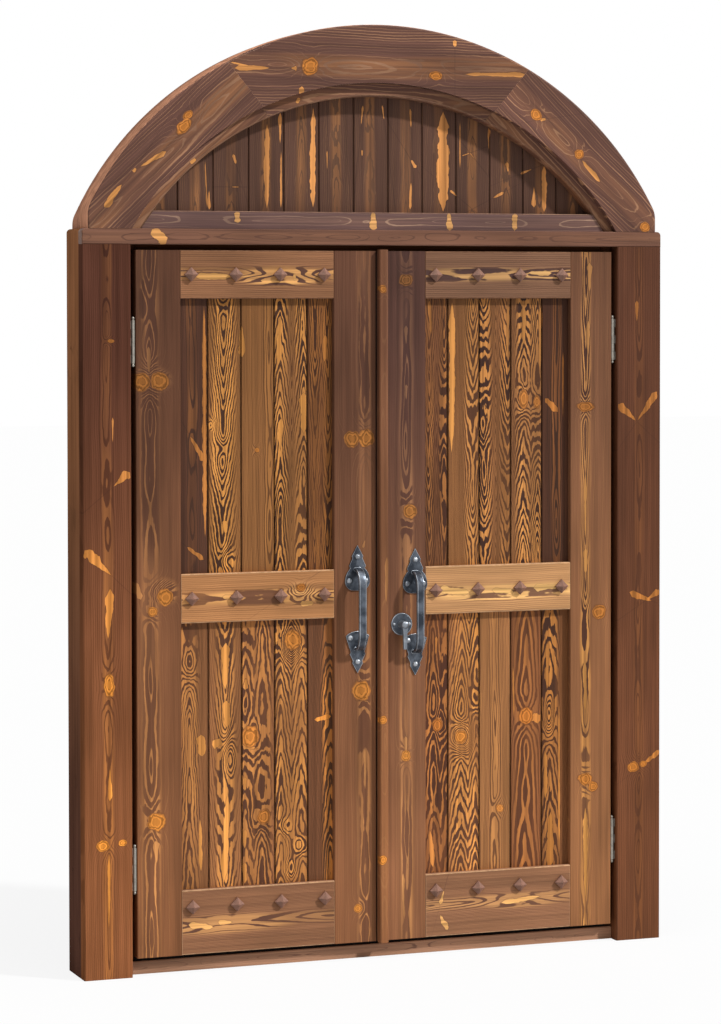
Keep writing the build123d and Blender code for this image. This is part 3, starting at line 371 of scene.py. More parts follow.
# Knots: x, z, size across the grain, stretch along it
KNOTS = {
    "left_jamb_board": [
        (-0.828, 0.84, 0.017, 2.0), (-0.848, 0.384, 0.0204, 0.8), (-0.789, 0.389, 0.0136, 0.8),
        (-0.819, 1.821, 0.0102, 0.5),
    ],
    "right_jamb_board": [
        (0.814, 0.525, 0.0204, 0.8), (0.847, 0.532, 0.0136, 0.8),
    ],
    "left_hinge_stile": [
        (-0.726, 1.704, 0.0289, 1.0), (-0.673, 1.706, 0.0289, 1.0), (-0.659, 1.086, 0.0255, 1.0),
        (-0.695, 1.046, 0.0153, 1.0), (-0.686, 0.443, 0.0289, 1.0),
    ],
    "left_meeting_stile": [
        (-0.088, 1.531, 0.0272, 1.0), (-0.044, 1.533, 0.0272, 1.0), (-0.06, 0.792, 0.0323, 1.0),
        (-0.07, 0.153, 0.0136, 1.0),
    ],
    "right_lock_stile": [
        (0.082, 1.995, 0.0238, 0.8), (0.094, 1.316, 0.0238, 1.0), (0.081, 0.594, 0.017, 1.0),
    ],
    "right_hinge_stile": [
        (0.659, 1.616, 0.0306, 0.5), (0.704, 0.998, 0.0238, 1.0), (0.659, 0.495, 0.0238, 0.8),
        (0.685, 0.472, 0.017, 1.0),
    ],
    "cover_strip": [
        (0.002, 1.969, 0.0136, 1.0), (0.001, 0.706, 0.0136, 1.0), (0.001, 0.294, 0.0136, 1.2),
    ],
    "left_mid_rail": [
        (-0.246, 1.102, 0.013, 1.2),
    ],
    "arch_front_crown": [
        (-0.219, 2.613, 0.0272, 1.0), (0.172, 2.595, 0.0136, 1.6),
    ],
    "arch_front_left": [
        (-0.601, 2.433, 0.017, 1.8), (-0.589, 2.465, 0.0119, 1.5),
    ],
    "arch_front_right": [
        (0.493, 2.486, 0.017, 1.2), (0.633, 2.372, 0.0153, 1.0), (0.85, 2.156, 0.017, 1.0),
    ],
    "left_upper_boards": [
        (-0.374, 1.503, 0.0075, 1.0),
    ],
    "left_lower_boards": [
        (-0.356, 0.435, 0.0204, 1.2), (-0.397, 0.67, 0.0272, 1.2), (-0.265, 0.948, 0.0272, 1.2),
    ],
    "right_upper_boards": [
        (0.465, 1.641, 0.0153, 2.0), (0.508, 1.632, 0.0119, 1.8),
    ],
    "right_lower_boards": [
        (0.263, 0.639, 0.0204, 1.0), (0.473, 0.692, 0.0238, 1.2), (0.187, 0.678, 0.017, 1.2),
        (0.389, 0.42, 0.0136, 1.0),
    ],
}

# Flames of clear wood: x and z of both ends, half width at each end
FLAMES = {
    "left_jamb_board": [
        (-0.9, 1.23, -0.818, 1.153, 0.0187, 0.002), (-0.764, 1.448, -0.814, 1.407, 0.0153, 0.0017),
        (-0.824, 1.119, -0.831, 0.971, 0.0153, 0.0034), (-0.827, 0.509, -0.826, 0.609, 0.0075, 0.0014),
        (-0.83, 0.363, -0.831, 0.142, 0.0048, 0.002), (-0.815, 1.606, -0.815, 1.532, 0.0034, 0.001),
    ],
    "right_jamb_board": [
        (0.762, 1.624, 0.822, 1.572, 0.0136, 0.0034), (0.892, 1.661, 0.825, 1.571, 0.0136, 0.0027),
        (0.8, 1.056, 0.876, 1.026, 0.0119, 0.0034), (0.824, 1.936, 0.824, 1.87, 0.0054, 0.0017),
        (0.903, 1.058, 0.856, 1.029, 0.0102, 0.0027), (0.907, 0.572, 0.847, 0.532, 0.0085, 0.0041),
    ],
    "left_hinge_stile": [
        (-0.706, 1.806, -0.704, 1.726, 0.0068, 0.0034), (-0.688, 0.39, -0.686, 0.321, 0.0122, 0.0014),
        (-0.748, 1.133, -0.73, 1.081, 0.0102, 0.0068),
    ],
    "left_meeting_stile": [
        (-0.054, 1.211, -0.047, 1.235, 0.0051, 0.002), (-0.048, 0.624, -0.048, 0.5, 0.0054, 0.002),
    ],
    "right_lock_stile": [
        (0.082, 1.863, 0.082, 1.805, 0.0061, 0.0017), (0.082, 1.69, 0.082, 1.643, 0.0054, 0.0014),
        (0.08, 0.653, 0.08, 0.605, 0.0068, 0.0034), (0.071, 0.25, 0.074, 0.105, 0.0054, 0.0014),
    ],
    "right_hinge_stile": [
        (0.672, 2.05, 0.672, 1.96, 0.0088, 0.0027), (0.668, 1.876, 0.667, 1.768, 0.0068, 0.0027),
        (0.659, 1.42, 0.659, 1.216, 0.0054, 0.002), (0.66, 1.192, 0.659, 1.114, 0.0088, 0.0041),
        (0.66, 0.413, 0.661, 0.129, 0.0088, 0.0034), (0.658, 0.854, 0.659, 0.697, 0.0068, 0.0034),
    ],
    "cover_strip": [
        (0.014, 1.188, 0.011, 1.047, 0.0068, 0.0034),
    ],
    "head_board": [
        (-0.697, 2.139, -0.655, 2.097, 0.0156, 0.0156),
    ],
    "base_rail": [
        (-0.435, 2.193, -0.432, 2.159, 0.0075, 0.0088), (-0.016, 2.197, -0.015, 2.138, 0.0061, 0.0109),
        (0.223, 2.196, 0.225, 2.14, 0.0041, 0.0122), (0.435, 2.195, 0.433, 2.141, 0.0102, 0.0061),
    ],
    "left_top_rail": [
        (-0.569, 2.005, -0.455, 2.006, 0.0109, 0.0082), (-0.269, 2.003, -0.26, 2.003, 0.0088, 0.0088),
    ],
    "left_mid_rail": [
        (-0.487, 1.082, -0.433, 1.079, 0.0075, 0.0054), (-0.249, 1.054, -0.206, 1.055, 0.0088, 0.0048),
        (-0.255, 1.106, -0.24, 1.115, 0.0048, 0.0027),
    ],
    "right_top_rail": [
        (0.471, 2.017, 0.549, 2.017, 0.0041, 0.0082),
    ],
    "right_mid_rail": [
        (0.183, 1.081, 0.285, 1.071, 0.0122, 0.0088), (0.355, 1.075, 0.426, 1.067, 0.0075, 0.0082),
        (0.488, 1.077, 0.576, 1.08, 0.0116, 0.0054),
    ],
    "left_bottom_rail": [
        (-0.592, 0.139, -0.514, 0.127, 0.0102, 0.0054), (-0.502, 0.141, -0.459, 0.138, 0.0088, 0.0041),
    ],
    "right_bottom_rail": [
        (0.382, 0.138, 0.512, 0.15, 0.0082, 0.0048), (0.189, 0.115, 0.214, 0.068, 0.0068, 0.0088),
        (0.189, 0.145, 0.202, 0.189, 0.0054, 0.002),
    ],
    "arch_front_crown": [
        (-0.45, 2.602, -0.341, 2.605, 0.0088, 0.0034), (-0.277, 2.606, -0.259, 2.607, 0.0027, 0.0082),
        (-0.244, 2.555, -0.247, 2.515, 0.0082, 0.0041), (0.233, 2.7, 0.233, 2.68, 0.0082, 0.0034),
        (0.259, 2.601, 0.477, 2.604, 0.0041, 0.0075), (-0.462, 2.619, -0.402, 2.609, 0.0027, 0.0014),
    ],
    "arch_front_left": [
        (-0.652, 2.361, -0.732, 2.315, 0.0088, 0.0027), (-0.838, 2.198, -0.785, 2.266, 0.0116, 0.0048),
        (-0.752, 2.3, -0.744, 2.312, 0.0048, 0.0027),
    ],
    "arch_front_right": [
        (0.642, 2.354, 0.702, 2.289, 0.0041, 0.0088), (0.841, 2.159, 0.867, 2.15, 0.0068, 0.0068),
        (0.506, 2.471, 0.525, 2.474, 0.0054, 0.0034),
    ],
    "arch_bead_left": [
        (-0.576, 2.329, -0.558, 2.341, 0.0054, 0.0041),
    ],
    "arch_bead_crown": [
        (-0.254, 2.507, -0.242, 2.522, 0.0075, 0.0048),
    ],
    "lunette_boards": [
        (-0.517, 2.34, -0.511, 2.2, 0.0016, 0.0025), (-0.505, 2.254, -0.505, 2.197, 0.002, 0.0053),
        (-0.432, 2.359, -0.423, 2.33, 0.0049, 0.0029), (-0.436, 2.264, -0.414, 2.264, 0.002, 0.0012),
        (-0.288, 2.483, -0.288, 2.39, 0.0053, 0.0025), (-0.285, 2.373, -0.286, 2.202, 0.002, 0.0041),
        (-0.328, 2.453, -0.329, 2.198, 0.0077, 0.0077), (-0.186, 2.502, -0.187, 2.202, 0.007, 0.0094),
        (-0.143, 2.375, -0.143, 2.317, 0.0025, 0.001), (-0.031, 2.508, -0.037, 2.45, 0.0029, 0.0012),
        (-0.034, 2.377, -0.034, 2.359, 0.0029, 0.002), (0.029, 2.51, 0.035, 2.466, 0.0025, 0.0012),
        (0.117, 2.502, 0.12, 2.444, 0.0037, 0.0016), (0.12, 2.35, 0.136, 2.326, 0.0025, 0.0053),
        (0.12, 2.285, 0.117, 2.202, 0.0025, 0.0049), (0.222, 2.499, 0.222, 2.194, 0.0166, 0.0166),
        (0.244, 2.262, 0.266, 2.245, 0.0053, 0.002), (0.282, 2.364, 0.308, 2.373, 0.002, 0.0016),
        (0.308, 2.373, 0.321, 2.358, 0.0016, 0.0008), (0.369, 2.451, 0.369, 2.383, 0.0045, 0.002),
        (0.427, 2.348, 0.431, 2.318, 0.0049, 0.0025), (0.382, 2.24, 0.418, 2.258, 0.0025, 0.0045),
        (0.47, 2.313, 0.509, 2.328, 0.0045, 0.0016), (0.515, 2.212, 0.515, 2.277, 0.007, 0.0016),
        (0.276, 2.47, 0.276, 2.322, 0.0016, 0.0016), (0.548, 2.341, 0.548, 2.197, 0.0082, 0.0082),
    ],
    "left_upper_boards": [
        (-0.534, 1.932, -0.532, 1.246, 0.0054, 0.0068), (-0.577, 1.547, -0.532, 1.471, 0.0027, 0.0102),
        (-0.42, 1.865, -0.419, 1.77, 0.0041, 0.0109), (-0.303, 1.885, -0.308, 1.746, 0.0048, 0.0082),
        (-0.3, 1.595, -0.304, 1.508, 0.0088, 0.0048), (-0.231, 1.67, -0.23, 1.547, 0.0136, 0.0068),
        (-0.164, 1.838, -0.166, 1.756, 0.0082, 0.0041), (-0.475, 1.303, -0.469, 1.262, 0.0088, 0.0034),
        (-0.587, 1.228, -0.536, 1.189, 0.0034, 0.0068),
    ],
    "left_lower_boards": [
        (-0.546, 0.686, -0.543, 0.62, 0.0136, 0.0102), (-0.55, 0.443, -0.547, 0.286, 0.0041, 0.0061),
        (-0.47, 0.949, -0.473, 0.81, 0.0136, 0.0068), (-0.47, 0.781, -0.467, 0.7, 0.0136, 0.0068),
        (-0.513, 0.653, -0.482, 0.66, 0.0136, 0.0102), (-0.465, 0.514, -0.478, 0.247, 0.0068, 0.0102),
        (-0.409, 0.842, -0.412, 0.808, 0.0041, 0.0088), (-0.413, 0.555, -0.413, 0.514, 0.0068, 0.0041),
        (-0.413, 0.403, -0.414, 0.345, 0.0068, 0.0041), (-0.414, 0.307, -0.414, 0.243, 0.0075, 0.0054),
        (-0.2, 0.711, -0.147, 0.72, 0.0054, 0.0068), (-0.419, 0.648, -0.379, 0.637, 0.0102, 0.0034),
    ],
    "right_upper_boards": [
        (0.235, 1.937, 0.233, 1.478, 0.0109, 0.0075), (0.162, 1.937, 0.168, 1.833, 0.0068, 0.0034),
        (0.521, 1.927, 0.518, 1.721, 0.0054, 0.0034), (0.534, 1.643, 0.577, 1.601, 0.0068, 0.0102),
        (0.414, 1.936, 0.413, 1.758, 0.0034, 0.0027), (0.465, 1.924, 0.465, 1.802, 0.0082, 0.0041),
        (0.593, 1.787, 0.593, 1.577, 0.0027, 0.0014),
    ],
    "right_lower_boards": [
        (0.184, 0.943, 0.183, 0.886, 0.0048, 0.0027), (0.19, 0.702, 0.187, 0.657, 0.0102, 0.0102),
        (0.164, 0.367, 0.174, 0.253, 0.0068, 0.0068), (0.49, 0.691, 0.522, 0.677, 0.0136, 0.0136),
        (0.536, 0.586, 0.536, 0.436, 0.0048, 0.0068), (0.545, 0.917, 0.542, 0.767, 0.0054, 0.0034),
        (0.555, 0.404, 0.549, 0.224, 0.0068, 0.0116), (0.431, 0.846, 0.434, 0.682, 0.0034, 0.002),
        (0.581, 0.735, 0.582, 0.252, 0.0027, 0.0027),
    ],
}

# Grain that closes into loops: x, z, length, width, number of rings
SWIRLS = {
    "left_lower_boards": [
        (-0.58, 0.887, 0.048, 0.02, 5), (-0.461, 0.615, 0.061, 0.02, 6), (-0.265, 0.93, 0.041, 0.031, 5),
        (-0.29, 0.405, 0.027, 0.02, 3), (-0.244, 0.344, 0.031, 0.02, 4), (-0.275, 0.281, 0.027, 0.02, 3),
    ],
    "right_lower_boards": [
        (0.263, 0.639, 0.048, 0.027, 8), (0.312, 0.747, 0.041, 0.017, 3), (0.548, 0.685, 0.061, 0.015, 6),
    ],
    "right_upper_boards": [
        (0.46, 1.641, 0.048, 0.014, 3), (0.337, 1.628, 0.048, 0.014, 2.5), (0.337, 1.491, 0.048, 0.017, 2),
    ],
    "left_upper_boards": [
        (-0.51, 1.578, 0.017, 0.01, 2), (-0.48, 1.511, 0.027, 0.017, 3), (-0.476, 1.914, 0.02, 0.014, 2),
        (-0.469, 1.187, 0.034, 0.024, 4),
    ],
    "left_top_rail": [(-0.309, 2.006, 0.122, 0.024, 4)],
    "left_mid_rail": [(-0.366, 1.078, 0.17, 0.02, 2.5), (-0.249, 1.083, 0.041, 0.027, 3)],
    "right_top_rail": [(0.317, 2.013, 0.204, 0.017, 2)],
    "right_mid_rail": [(0.381, 1.068, 0.204, 0.02, 2)],
    "left_bottom_rail": [(-0.481, 0.134, 0.204, 0.024, 3)],
    "right_bottom_rail": [(0.446, 0.143, 0.136, 0.02, 3)],
    "left_hinge_stile": [
        (-0.707, 1.937, 0.075, 0.024, 2), (-0.701, 1.709, 0.034, 0.054, 3), (-0.665, 1.102, 0.034, 0.041, 4),
    ],
}

# How the grain of a piece runs unless its own facts say otherwise. Most have no second pith near them
FAR_AWAY = 9.0
USUAL = {
    "spacing": 0.012, "pith": 0.0, "second": FAR_AWAY, "arches": 4.0, "sway": 0.008, "taper": 0.0,
    "share": 0.2, "loud": 0.58, "column": 0.02, "strength": 0.5, "lift": 0.25, "sheen": 0.12, "ragged": 0.35,
}


def wood(name, tone_name, axes, centre, seed, marks, facts):
    """A wood material for one sawn piece. Axes are its across and along directions."""
    material, g, shader = new_material(name)
    here = g.add("ShaderNodeTexCoord").outputs["Object"]
    spot = g.vector("SUBTRACT", here, centre)
    across_axis, along_axis = Vector(axes[0]), Vector(axes[1])
    depth_axis = across_axis.cross(along_axis)
    if depth_axis.y < 0:
        depth_axis = -depth_axis
    across = g.vector("DOT_PRODUCT", spot, tuple(across_axis))
    depth = g.vector("DOT_PRODUCT", spot, tuple(depth_axis))
    along = g.vector("DOT_PRODUCT", spot, tuple(along_axis))

    def local(x, z):
        point = Vector((x - centre[0], 0.0, z - centre[2]))
        return point.dot(along_axis), point.dot(across_axis)

    def placed(group, *values):
        node = g.add("ShaderNodeGroup", node_tree=group)
        for value, socket in zip((along, across, *values), node.inputs):
            g.put(value, socket)
        return node.outputs

    knots, flames, swirls = marks
    bend, near, core, reach, flame, rim = 0.0, 0.0, 0.0, 2.0, 0.0, 0.0
    for x, z, length, width, turns in swirls:
        found = placed(swirl_group, *local(x, z), length, width, turns)
        bend = g.math("ADD", bend, found["Bend"])
        near = g.math("MAXIMUM", near, found["Near"])
    for x, z, size, stretch in knots:
        found = placed(knot_group, *local(x, z), size, stretch)
        bend = g.math("ADD", bend, found["Bend"])
        core = g.math("MAXIMUM", core, found["Core"])
        reach = g.math("MINIMUM", reach, found["Reach"])
    for x, z, end_x, end_z, first, last in flames:
        found = placed(flame_group, *local(x, z), *local(end_x, end_z), first, last)
        flame = g.math("MAXIMUM", flame, found["Inside"])
        rim = g.math("MAXIMUM", rim, found["Rim"])
    run = {**USUAL, **facts}
    values = {
        "Across": across, "Depth": depth, "Along": along, "Height": g.split(here)["Z"], "Seed": float(seed),
        "Bend": bend, "Near": near, "Spacing": run["spacing"], "Pith": run["pith"],
        "Second pith": run["second"], "Arches": run["arches"], "Sway": run["sway"], "Taper": run["taper"],
        "Share": run["share"], "Loud share": run["loud"], "Column": run["column"],
        "Strength": run["strength"], "Lift": run["lift"], "Ragged": run["ragged"],
        "Knot core": core, "Knot reach": reach, "Flame": flame, "Flame rim": rim, **TONES[tone_name],
    }
    node = g.add("ShaderNodeGroup", node_tree=wood_group)
    for key, value in values.items():
        g.put(value, node.inputs[key])
    tint = (*run.get("tint", (1.0, 1.0, 1.0)), 1.0)
    g.put(g.mix(1.0, node.outputs["Colour"], tint, "MULTIPLY"), shader.inputs["Base Color"])
    g.put(node.outputs["Roughness"], shader.inputs["Roughness"])
    shader.inputs["Specular IOR Level"].default_value = run["sheen"]
    bump = g.add("ShaderNodeBump")
    bump.inputs["Strength"].default_value = BUMP_STRENGTH
    bump.inputs["Distance"].default_value = GRAIN_DEPTH
    g.put(node.outputs["Height"], bump.inputs["Height"])
    g.put(bump.outputs[0], shader.inputs["Normal"])
    return material


# Across and along directions of the grain, and how far from a piece a knot still bends its grain
UPRIGHT = ((1.0, 0.0, 0.0), (0.0, 0.0, 1.0))
LEVEL = ((0.0, 0.0, 1.0), (1.0, 0.0, 0.0))
MARGIN = 0.015


def marks_between(name, low, high):
    """The knots, flames and swirls of a node that lie between two values of x."""
    low, high = low - MARGIN, high + MARGIN
    knots = [k for k in KNOTS.get(name, ()) if low < k[0] < high]
    flames = [f for f in FLAMES.get(name, ()) if max(f[0], f[2]) > low and min(f[0], f[2]) < high]
    swirls = [s for s in SWIRLS.get(name, ()) if low < s[0] < high]
    return knots, flames, swirls


def middle_of(node):
    """Centre of a node in x and z, with y on its front face."""
    low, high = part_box(node)
    return ((low.x + high.x) / 2, low.y, (low.z + high.z) / 2)


def dress(node, material):
    """Give a node this material all over."""
    mesh = nodes[node].data
    mesh.materials.clear()
    mesh.materials.append(material)


def dress_in_wood(node, tone_name, axes, seed, facts):
    """Give a node of one piece of timber its own wood, with all its knots and flames."""
    marks = (KNOTS.get(node, ()), FLAMES.get(node, ()), SWIRLS.get(node, ()))
    dress(node, wood(node, tone_name, axes, middle_of(node), seed, marks, facts))


def dress_boards(node, seams, facts):
    """Give each upright board between these seams its own material, from the facts about each."""
    low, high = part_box(node)
    edges = [low.x, *seams, high.x]
    mesh = nodes[node].data
    mesh.materials.clear()
    for count, (tone_name, seed, run) in enumerate(facts):
        centre = ((edges[count] + edges[count + 1]) / 2, low.y, (low.z + high.z) / 2)
        run = dict(run)
        for key in ("pith", "second"):
            if key in run:
                run[key] -= centre[0]
        marks = marks_between(node, edges[count], edges[count + 1])
        mesh.materials.append(wood(f"{node}_{count}", tone_name, UPRIGHT, centre, seed, marks, run))
    for face in mesh.polygons:
        count = sum(1 for seam in seams if face.center.x > seam)
        face.material_index = min(count, len(facts) - 1)


# Solid pieces: stain, direction of the grain, seed, and how the grain runs
STILE = dict(share=0.12, strength=0.85, spacing=0.014, column=0.026, loud=0.86, arches=2.2, lift=1.2)
RAIL = dict(spacing=0.011, strength=0.75, column=0.022, share=0.3, sway=0.006, arches=2.0, lift=0.0, loud=0.6)
DULL = dict(strength=0.05, lift=0.2, sheen=0.0)
PIECES = {
    # Painted shade: the side of the left post is lighter at the top and darker towards its foot
    "left_post": ("side", UPRIGHT, 3, dict(DULL, lift=-1.8, tint=(2.1, 2.5, 2.8))),
    "right_post": ("side", UPRIGHT, 4, DULL),
    "left_jamb_board": ("jamb", UPRIGHT, 5, dict(
        strength=0.2, share=0.25, lift=1.9, sheen=0.0, tint=(1.14, 1.15, 1.17),
    )),
    "right_jamb_board": ("jamb", UPRIGHT, 6, dict(
        strength=0.1, share=0.25, lift=0.9, tint=(0.84, 0.8, 0.76),
    )),
    "head_board": ("jamb", LEVEL, 7, dict(strength=0.05, share=0.1, tint=(1.1, 1.35, 1.85))),
    "head_beam": ("side", LEVEL, 8, DULL),
    "threshold": ("bar", LEVEL, 9, dict(strength=0.0, share=0.06, lift=0.0, tint=(1.85, 2.15, 2.75))),
    "left_stop": ("side", UPRIGHT, 10, DULL),
    "right_stop": ("side", UPRIGHT, 11, DULL),
    "head_stop": ("side", LEVEL, 12, DULL),
    "base_rail": ("ring", LEVEL, 13, dict(strength=0.05, share=0.08, tint=(1.2, 1.4, 1.7))),
    "cover_strip": ("stile", UPRIGHT, 14, dict(strength=0.1, share=0.1, lift=1.2)),
    "left_hinge_stile": ("stile", UPRIGHT, 15, dict(
        STILE, pith=-0.026, column=0.034, tint=(0.84, 0.84, 0.84),
    )),
    "left_meeting_stile": ("stile", UPRIGHT, 16, dict(STILE, pith=0.03, tint=(0.88, 0.9, 0.95))),
    "right_lock_stile": ("stile", UPRIGHT, 17, dict(STILE, pith=0.015, lift=2.0, tint=(0.9, 0.95, 1.1))),
    "right_hinge_stile": ("chain", UPRIGHT, 18, dict(
        STILE, pith=-0.016, loud=0.60, column=0.020, strength=1.0, spacing=0.010, arches=3.2, taper=-6.0,
        tint=(0.80, 0.785, 0.83),
    )),
    "left_top_rail": ("bar", LEVEL, 19, dict(RAIL, tint=(1.1, 1.1, 1.1))),
    "right_top_rail": ("bar", LEVEL, 20, dict(RAIL, loud=0.8, strength=0.8, tint=(0.84, 0.92, 1.1))),
    "left_mid_rail": ("tan", LEVEL, 21, dict(RAIL, pith=-0.004, tint=(0.95, 0.92, 0.92))),
    "right_mid_rail": ("tan", LEVEL, 22, dict(RAIL, pith=-0.006, loud=0.4, tint=(1.2, 1.32, 1.45))),
    "left_bottom_rail": ("bar", LEVEL, 23, dict(
        RAIL, pith=-0.008, spacing=0.008, loud=0.5, strength=0.4, tint=(1.1, 1.1, 1.15),
    )),
    "right_bottom_rail": ("bar", LEVEL, 24, dict(
        RAIL, spacing=0.008, loud=0.5, strength=0.35, tint=(1.27, 1.3, 1.38),
    )),
}
for name, (tone_name, axes, seed, facts) in PIECES.items():
    dress_in_wood(name, tone_name, axes, seed, facts)


def sloping(angle):
    """Across and along directions of a piece whose grain climbs at this angle."""
    c, s = math.cos(math.radians(angle)), math.sin(math.radians(angle))
    return ((-s, 0.0, c), (c, 0.0, s))


# Segments of the arch, with the slope of their grain in degrees
ARCH_SLOPES = {"left": 43.0, "crown": 0.0, "right": -43.0}
ARCH_GRAIN = dict(
    strength=0.2, share=0.16, spacing=0.016, loud=0.85, column=0.04, arches=2.5, taper=2.0,
    tint=(1.05, 1.02, 1.0),
)
for layer, tone_name in (("front", "ring"), ("back", "side"), ("bead", "ring")):
    for side, angle in ARCH_SLOPES.items():
        name = f"arch_{layer}_{side}"
        dress_in_wood(name, tone_name, sloping(angle), 30 + 7 * len(name) + angle, ARCH_GRAIN)

# Boards of the leaves, from left to right: stain, seed, and how the grain of each runs
BOARD_PITCH = 0.101
INNER_SEAM = 0.2205
LEAF_SEAMS = [INNER_SEAM + BOARD_PITCH * count for count in range(4)]
ZEBRA = dict(spacing=0.0085, sway=0.007, share=0.42, column=0.034, strength=1.0, arches=3.6, ragged=1.0)
PLAIN = dict(spacing=0.0090, sway=0.010, share=0.38, strength=0.25, arches=3.0)
BOARDS = {
    "left_upper_boards": [
        ("dark", 51, PLAIN),
        ("gold", 52, dict(ZEBRA, pith=-0.477, column=0.042, taper=-20.0)),
        ("gold", 53, dict(PLAIN, pith=-0.335, tint=(0.95, 0.95, 1.0))),
        ("gold", 54, dict(
            ZEBRA, pith=-0.303, second=-0.231, column=0.028, taper=20.0, tint=(0.9, 0.9, 0.95),
        )),
        ("brown", 55, dict(
            ZEBRA, pith=-0.197, second=-0.155, strength=0.75, column=0.022, taper=-12.0,
            tint=(0.71, 0.65, 0.6),
        )),
    ],
    "left_lower_boards": [
        ("brown", 61, dict(ZEBRA, pith=-0.580, strength=0.55, taper=12.0, tint=(1.05, 1.05, 1.1))),
        ("brown", 62, dict(
            ZEBRA, pith=-0.470, spacing=0.013, taper=-16.0, strength=0.85, tint=(1.2, 1.2, 1.22),
        )),
        ("brown", 63, dict(
            ZEBRA, pith=-0.361, second=-0.410, spacing=0.014, taper=12.0, loud=0.78, arches=2.4, strength=0.7,
            tint=(1.08, 1.05, 1.1),
        )),
        ("brown", 64, dict(
            ZEBRA, pith=-0.302, second=-0.239, taper=17.0, arches=1.0, column=0.048, spacing=0.011,
            tint=(1.05, 1.04, 1.04),
        )),
        ("dark", 65, dict(
            ZEBRA, pith=-0.148, strength=0.8, column=0.030, taper=14.0, tint=(1.65, 1.6, 1.28),
        )),
    ],
    "right_upper_boards": [
        ("brown", 71, dict(
            ZEBRA, pith=0.161, second=0.209, strength=0.8, column=0.020, taper=-16.0, tint=(0.7, 0.66, 0.72),
        )),
        ("gold", 72, dict(
            ZEBRA, pith=0.302, spacing=0.0055, column=0.030, strength=0.55, taper=-18.0,
            tint=(0.98, 0.98, 1.1),
        )),
        ("gold", 73, dict(
            ZEBRA, pith=0.336, second=0.413, column=0.028, taper=-24.0, tint=(0.85, 0.83, 0.96),
        )),
        ("gold", 74, dict(ZEBRA, pith=0.465, second=0.512, column=0.028, taper=22.0, tint=(0.85, 0.85, 1.0))),
        ("dark", 75, dict(PLAIN, tint=(0.88, 0.84, 0.78))),
    ],
    "right_lower_boards": [
        ("brown", 81, dict(
            ZEBRA, pith=0.177, second=0.215, spacing=0.014, loud=0.76, strength=0.8, taper=10.0,
            tint=(0.95, 0.85, 0.88),
        )),
        ("brown", 82, dict(
            ZEBRA, pith=0.263, second=0.312, taper=22.0, column=0.04, spacing=0.010, arches=2.0,
            strength=0.85, tint=(1.28, 1.26, 1.24),
        )),
        ("gold", 83, dict(PLAIN, tint=(1.27, 1.3, 1.55))),
        ("brown", 84, dict(
            PLAIN, spacing=0.013, strength=0.5, loud=0.85, column=0.04, taper=6.0, tint=(1.02, 0.92, 0.9),
        )),
        ("brown", 85, dict(ZEBRA, pith=0.549, taper=16.0, tint=(0.82, 0.77, 0.74))),
    ],
}
for name, facts in BOARDS.items():
    sign = -1 if name.startswith("left") else 1
    dress_boards(name, sorted(sign * x for x in LEAF_SEAMS), facts)

# Boards of the arch, whose seams are counted from one near the middle
ARCH_PITCH = 0.108
ARCH_SEAM = -0.061
ARCH_BOARDS = 15
lunette_seams = [ARCH_SEAM + ARCH_PITCH * count for count in range(-6, ARCH_BOARDS - 7)]
quiet = dict(
    strength=0.25, share=0.16, spacing=0.012, loud=0.82, taper=8.0, ragged=1.0, tint=(1.15, 1.12, 1.15),
)
arch_facts = [("night", 120 + 4.1 * count, quiet) for count in range(ARCH_BOARDS)]
dress_boards("lunette_boards", lunette_seams, arch_facts)


def forged_iron(name, dark, light, polish):
    """Blue-grey forged iron, hammered, with its scale rubbed thin in places."""
    material, g, shader = new_material(name)
    spot = g.add("ShaderNodeTexCoord").outputs["Object"]
    dents = g.add("ShaderNodeTexVoronoi", feature="SMOOTH_F1")
    g.put(spot, dents.inputs["Vector"])
    dents.inputs["Scale"].default_value = 90.0
    recolour = g.noise(spot, 140.0, 4.0, 0.65)
    cloud = g.noise(spot, 30.0, 2.0)
    base = g.mix(g.smooth(cloud, 0.35, 0.65), rgb(*dark), rgb(*light))
    base = g.mix(g.smooth(recolour, 0.64, 0.74, 0.0, 0.6), base, rgb(190, 198, 206))
    g.put(base, shader.inputs["Base Color"])
    g.put(g.smooth(recolour, 0.3, 0.7, polish + 0.1, polish - 0.06), shader.inputs["Roughness"])
    shader.inputs["Metallic"].default_value = 0.8
    height = g.math("ADD", dents.outputs["Distance"], g.math("MULTIPLY", recolour, 0.15))
    bump = g.add("ShaderNodeBump")
    bump.inputs["Strength"].default_value = BUMP_STRENGTH
    bump.inputs["Distance"].default_value = DENT_DEPTH
    g.put(height, bump.inputs["Height"])
    g.put(bump.outputs[0], shader.inputs["Normal"])
    return material


def plain_metal(name, colour, roughness, metallic):
    """One colour with faint stains, darker and rougher where they lie."""
    material, g, shader = new_material(name)
    spot = g.add("ShaderNodeTexCoord").outputs["Object"]
    stain = g.noise(spot, 90.0, 3.0, 0.6)
    base = g.mix(g.smooth(stain, 0.35, 0.7), colour, tuple(0.72 * c for c in colour[:3]) + (1.0,))
    g.put(base, shader.inputs["Base Color"])
    g.put(g.smooth(stain, 0.3, 0.7, roughness, roughness + 0.15), shader.inputs["Roughness"])
    shader.inputs["Metallic"].default_value = metallic
    return material


def plain_wood(name, shade, sheen=0.0):
    """One colour with a little streaking, for rubber and for wood faces and edges, many of them given a
    painted highlight or painted shade.
    """
    material, g, shader = new_material(name)
    spot = g.add("ShaderNodeTexCoord").outputs["Object"]
    mottle = g.noise(g.vector("MULTIPLY", spot, (60.0, 60.0, 14.0)), 1.0, 3.0, 0.6)
    colour = rgb(*shade)
    base = g.mix(g.smooth(mottle, 0.3, 0.7), tuple(0.62 * c for c in colour[:3]) + (1.0,), colour)
    g.put(base, shader.inputs["Base Color"])
    shader.inputs["Roughness"].default_value = 0.5
    shader.inputs["Specular IOR Level"].default_value = sheen
    return material


WELD_REACH = 0.00001


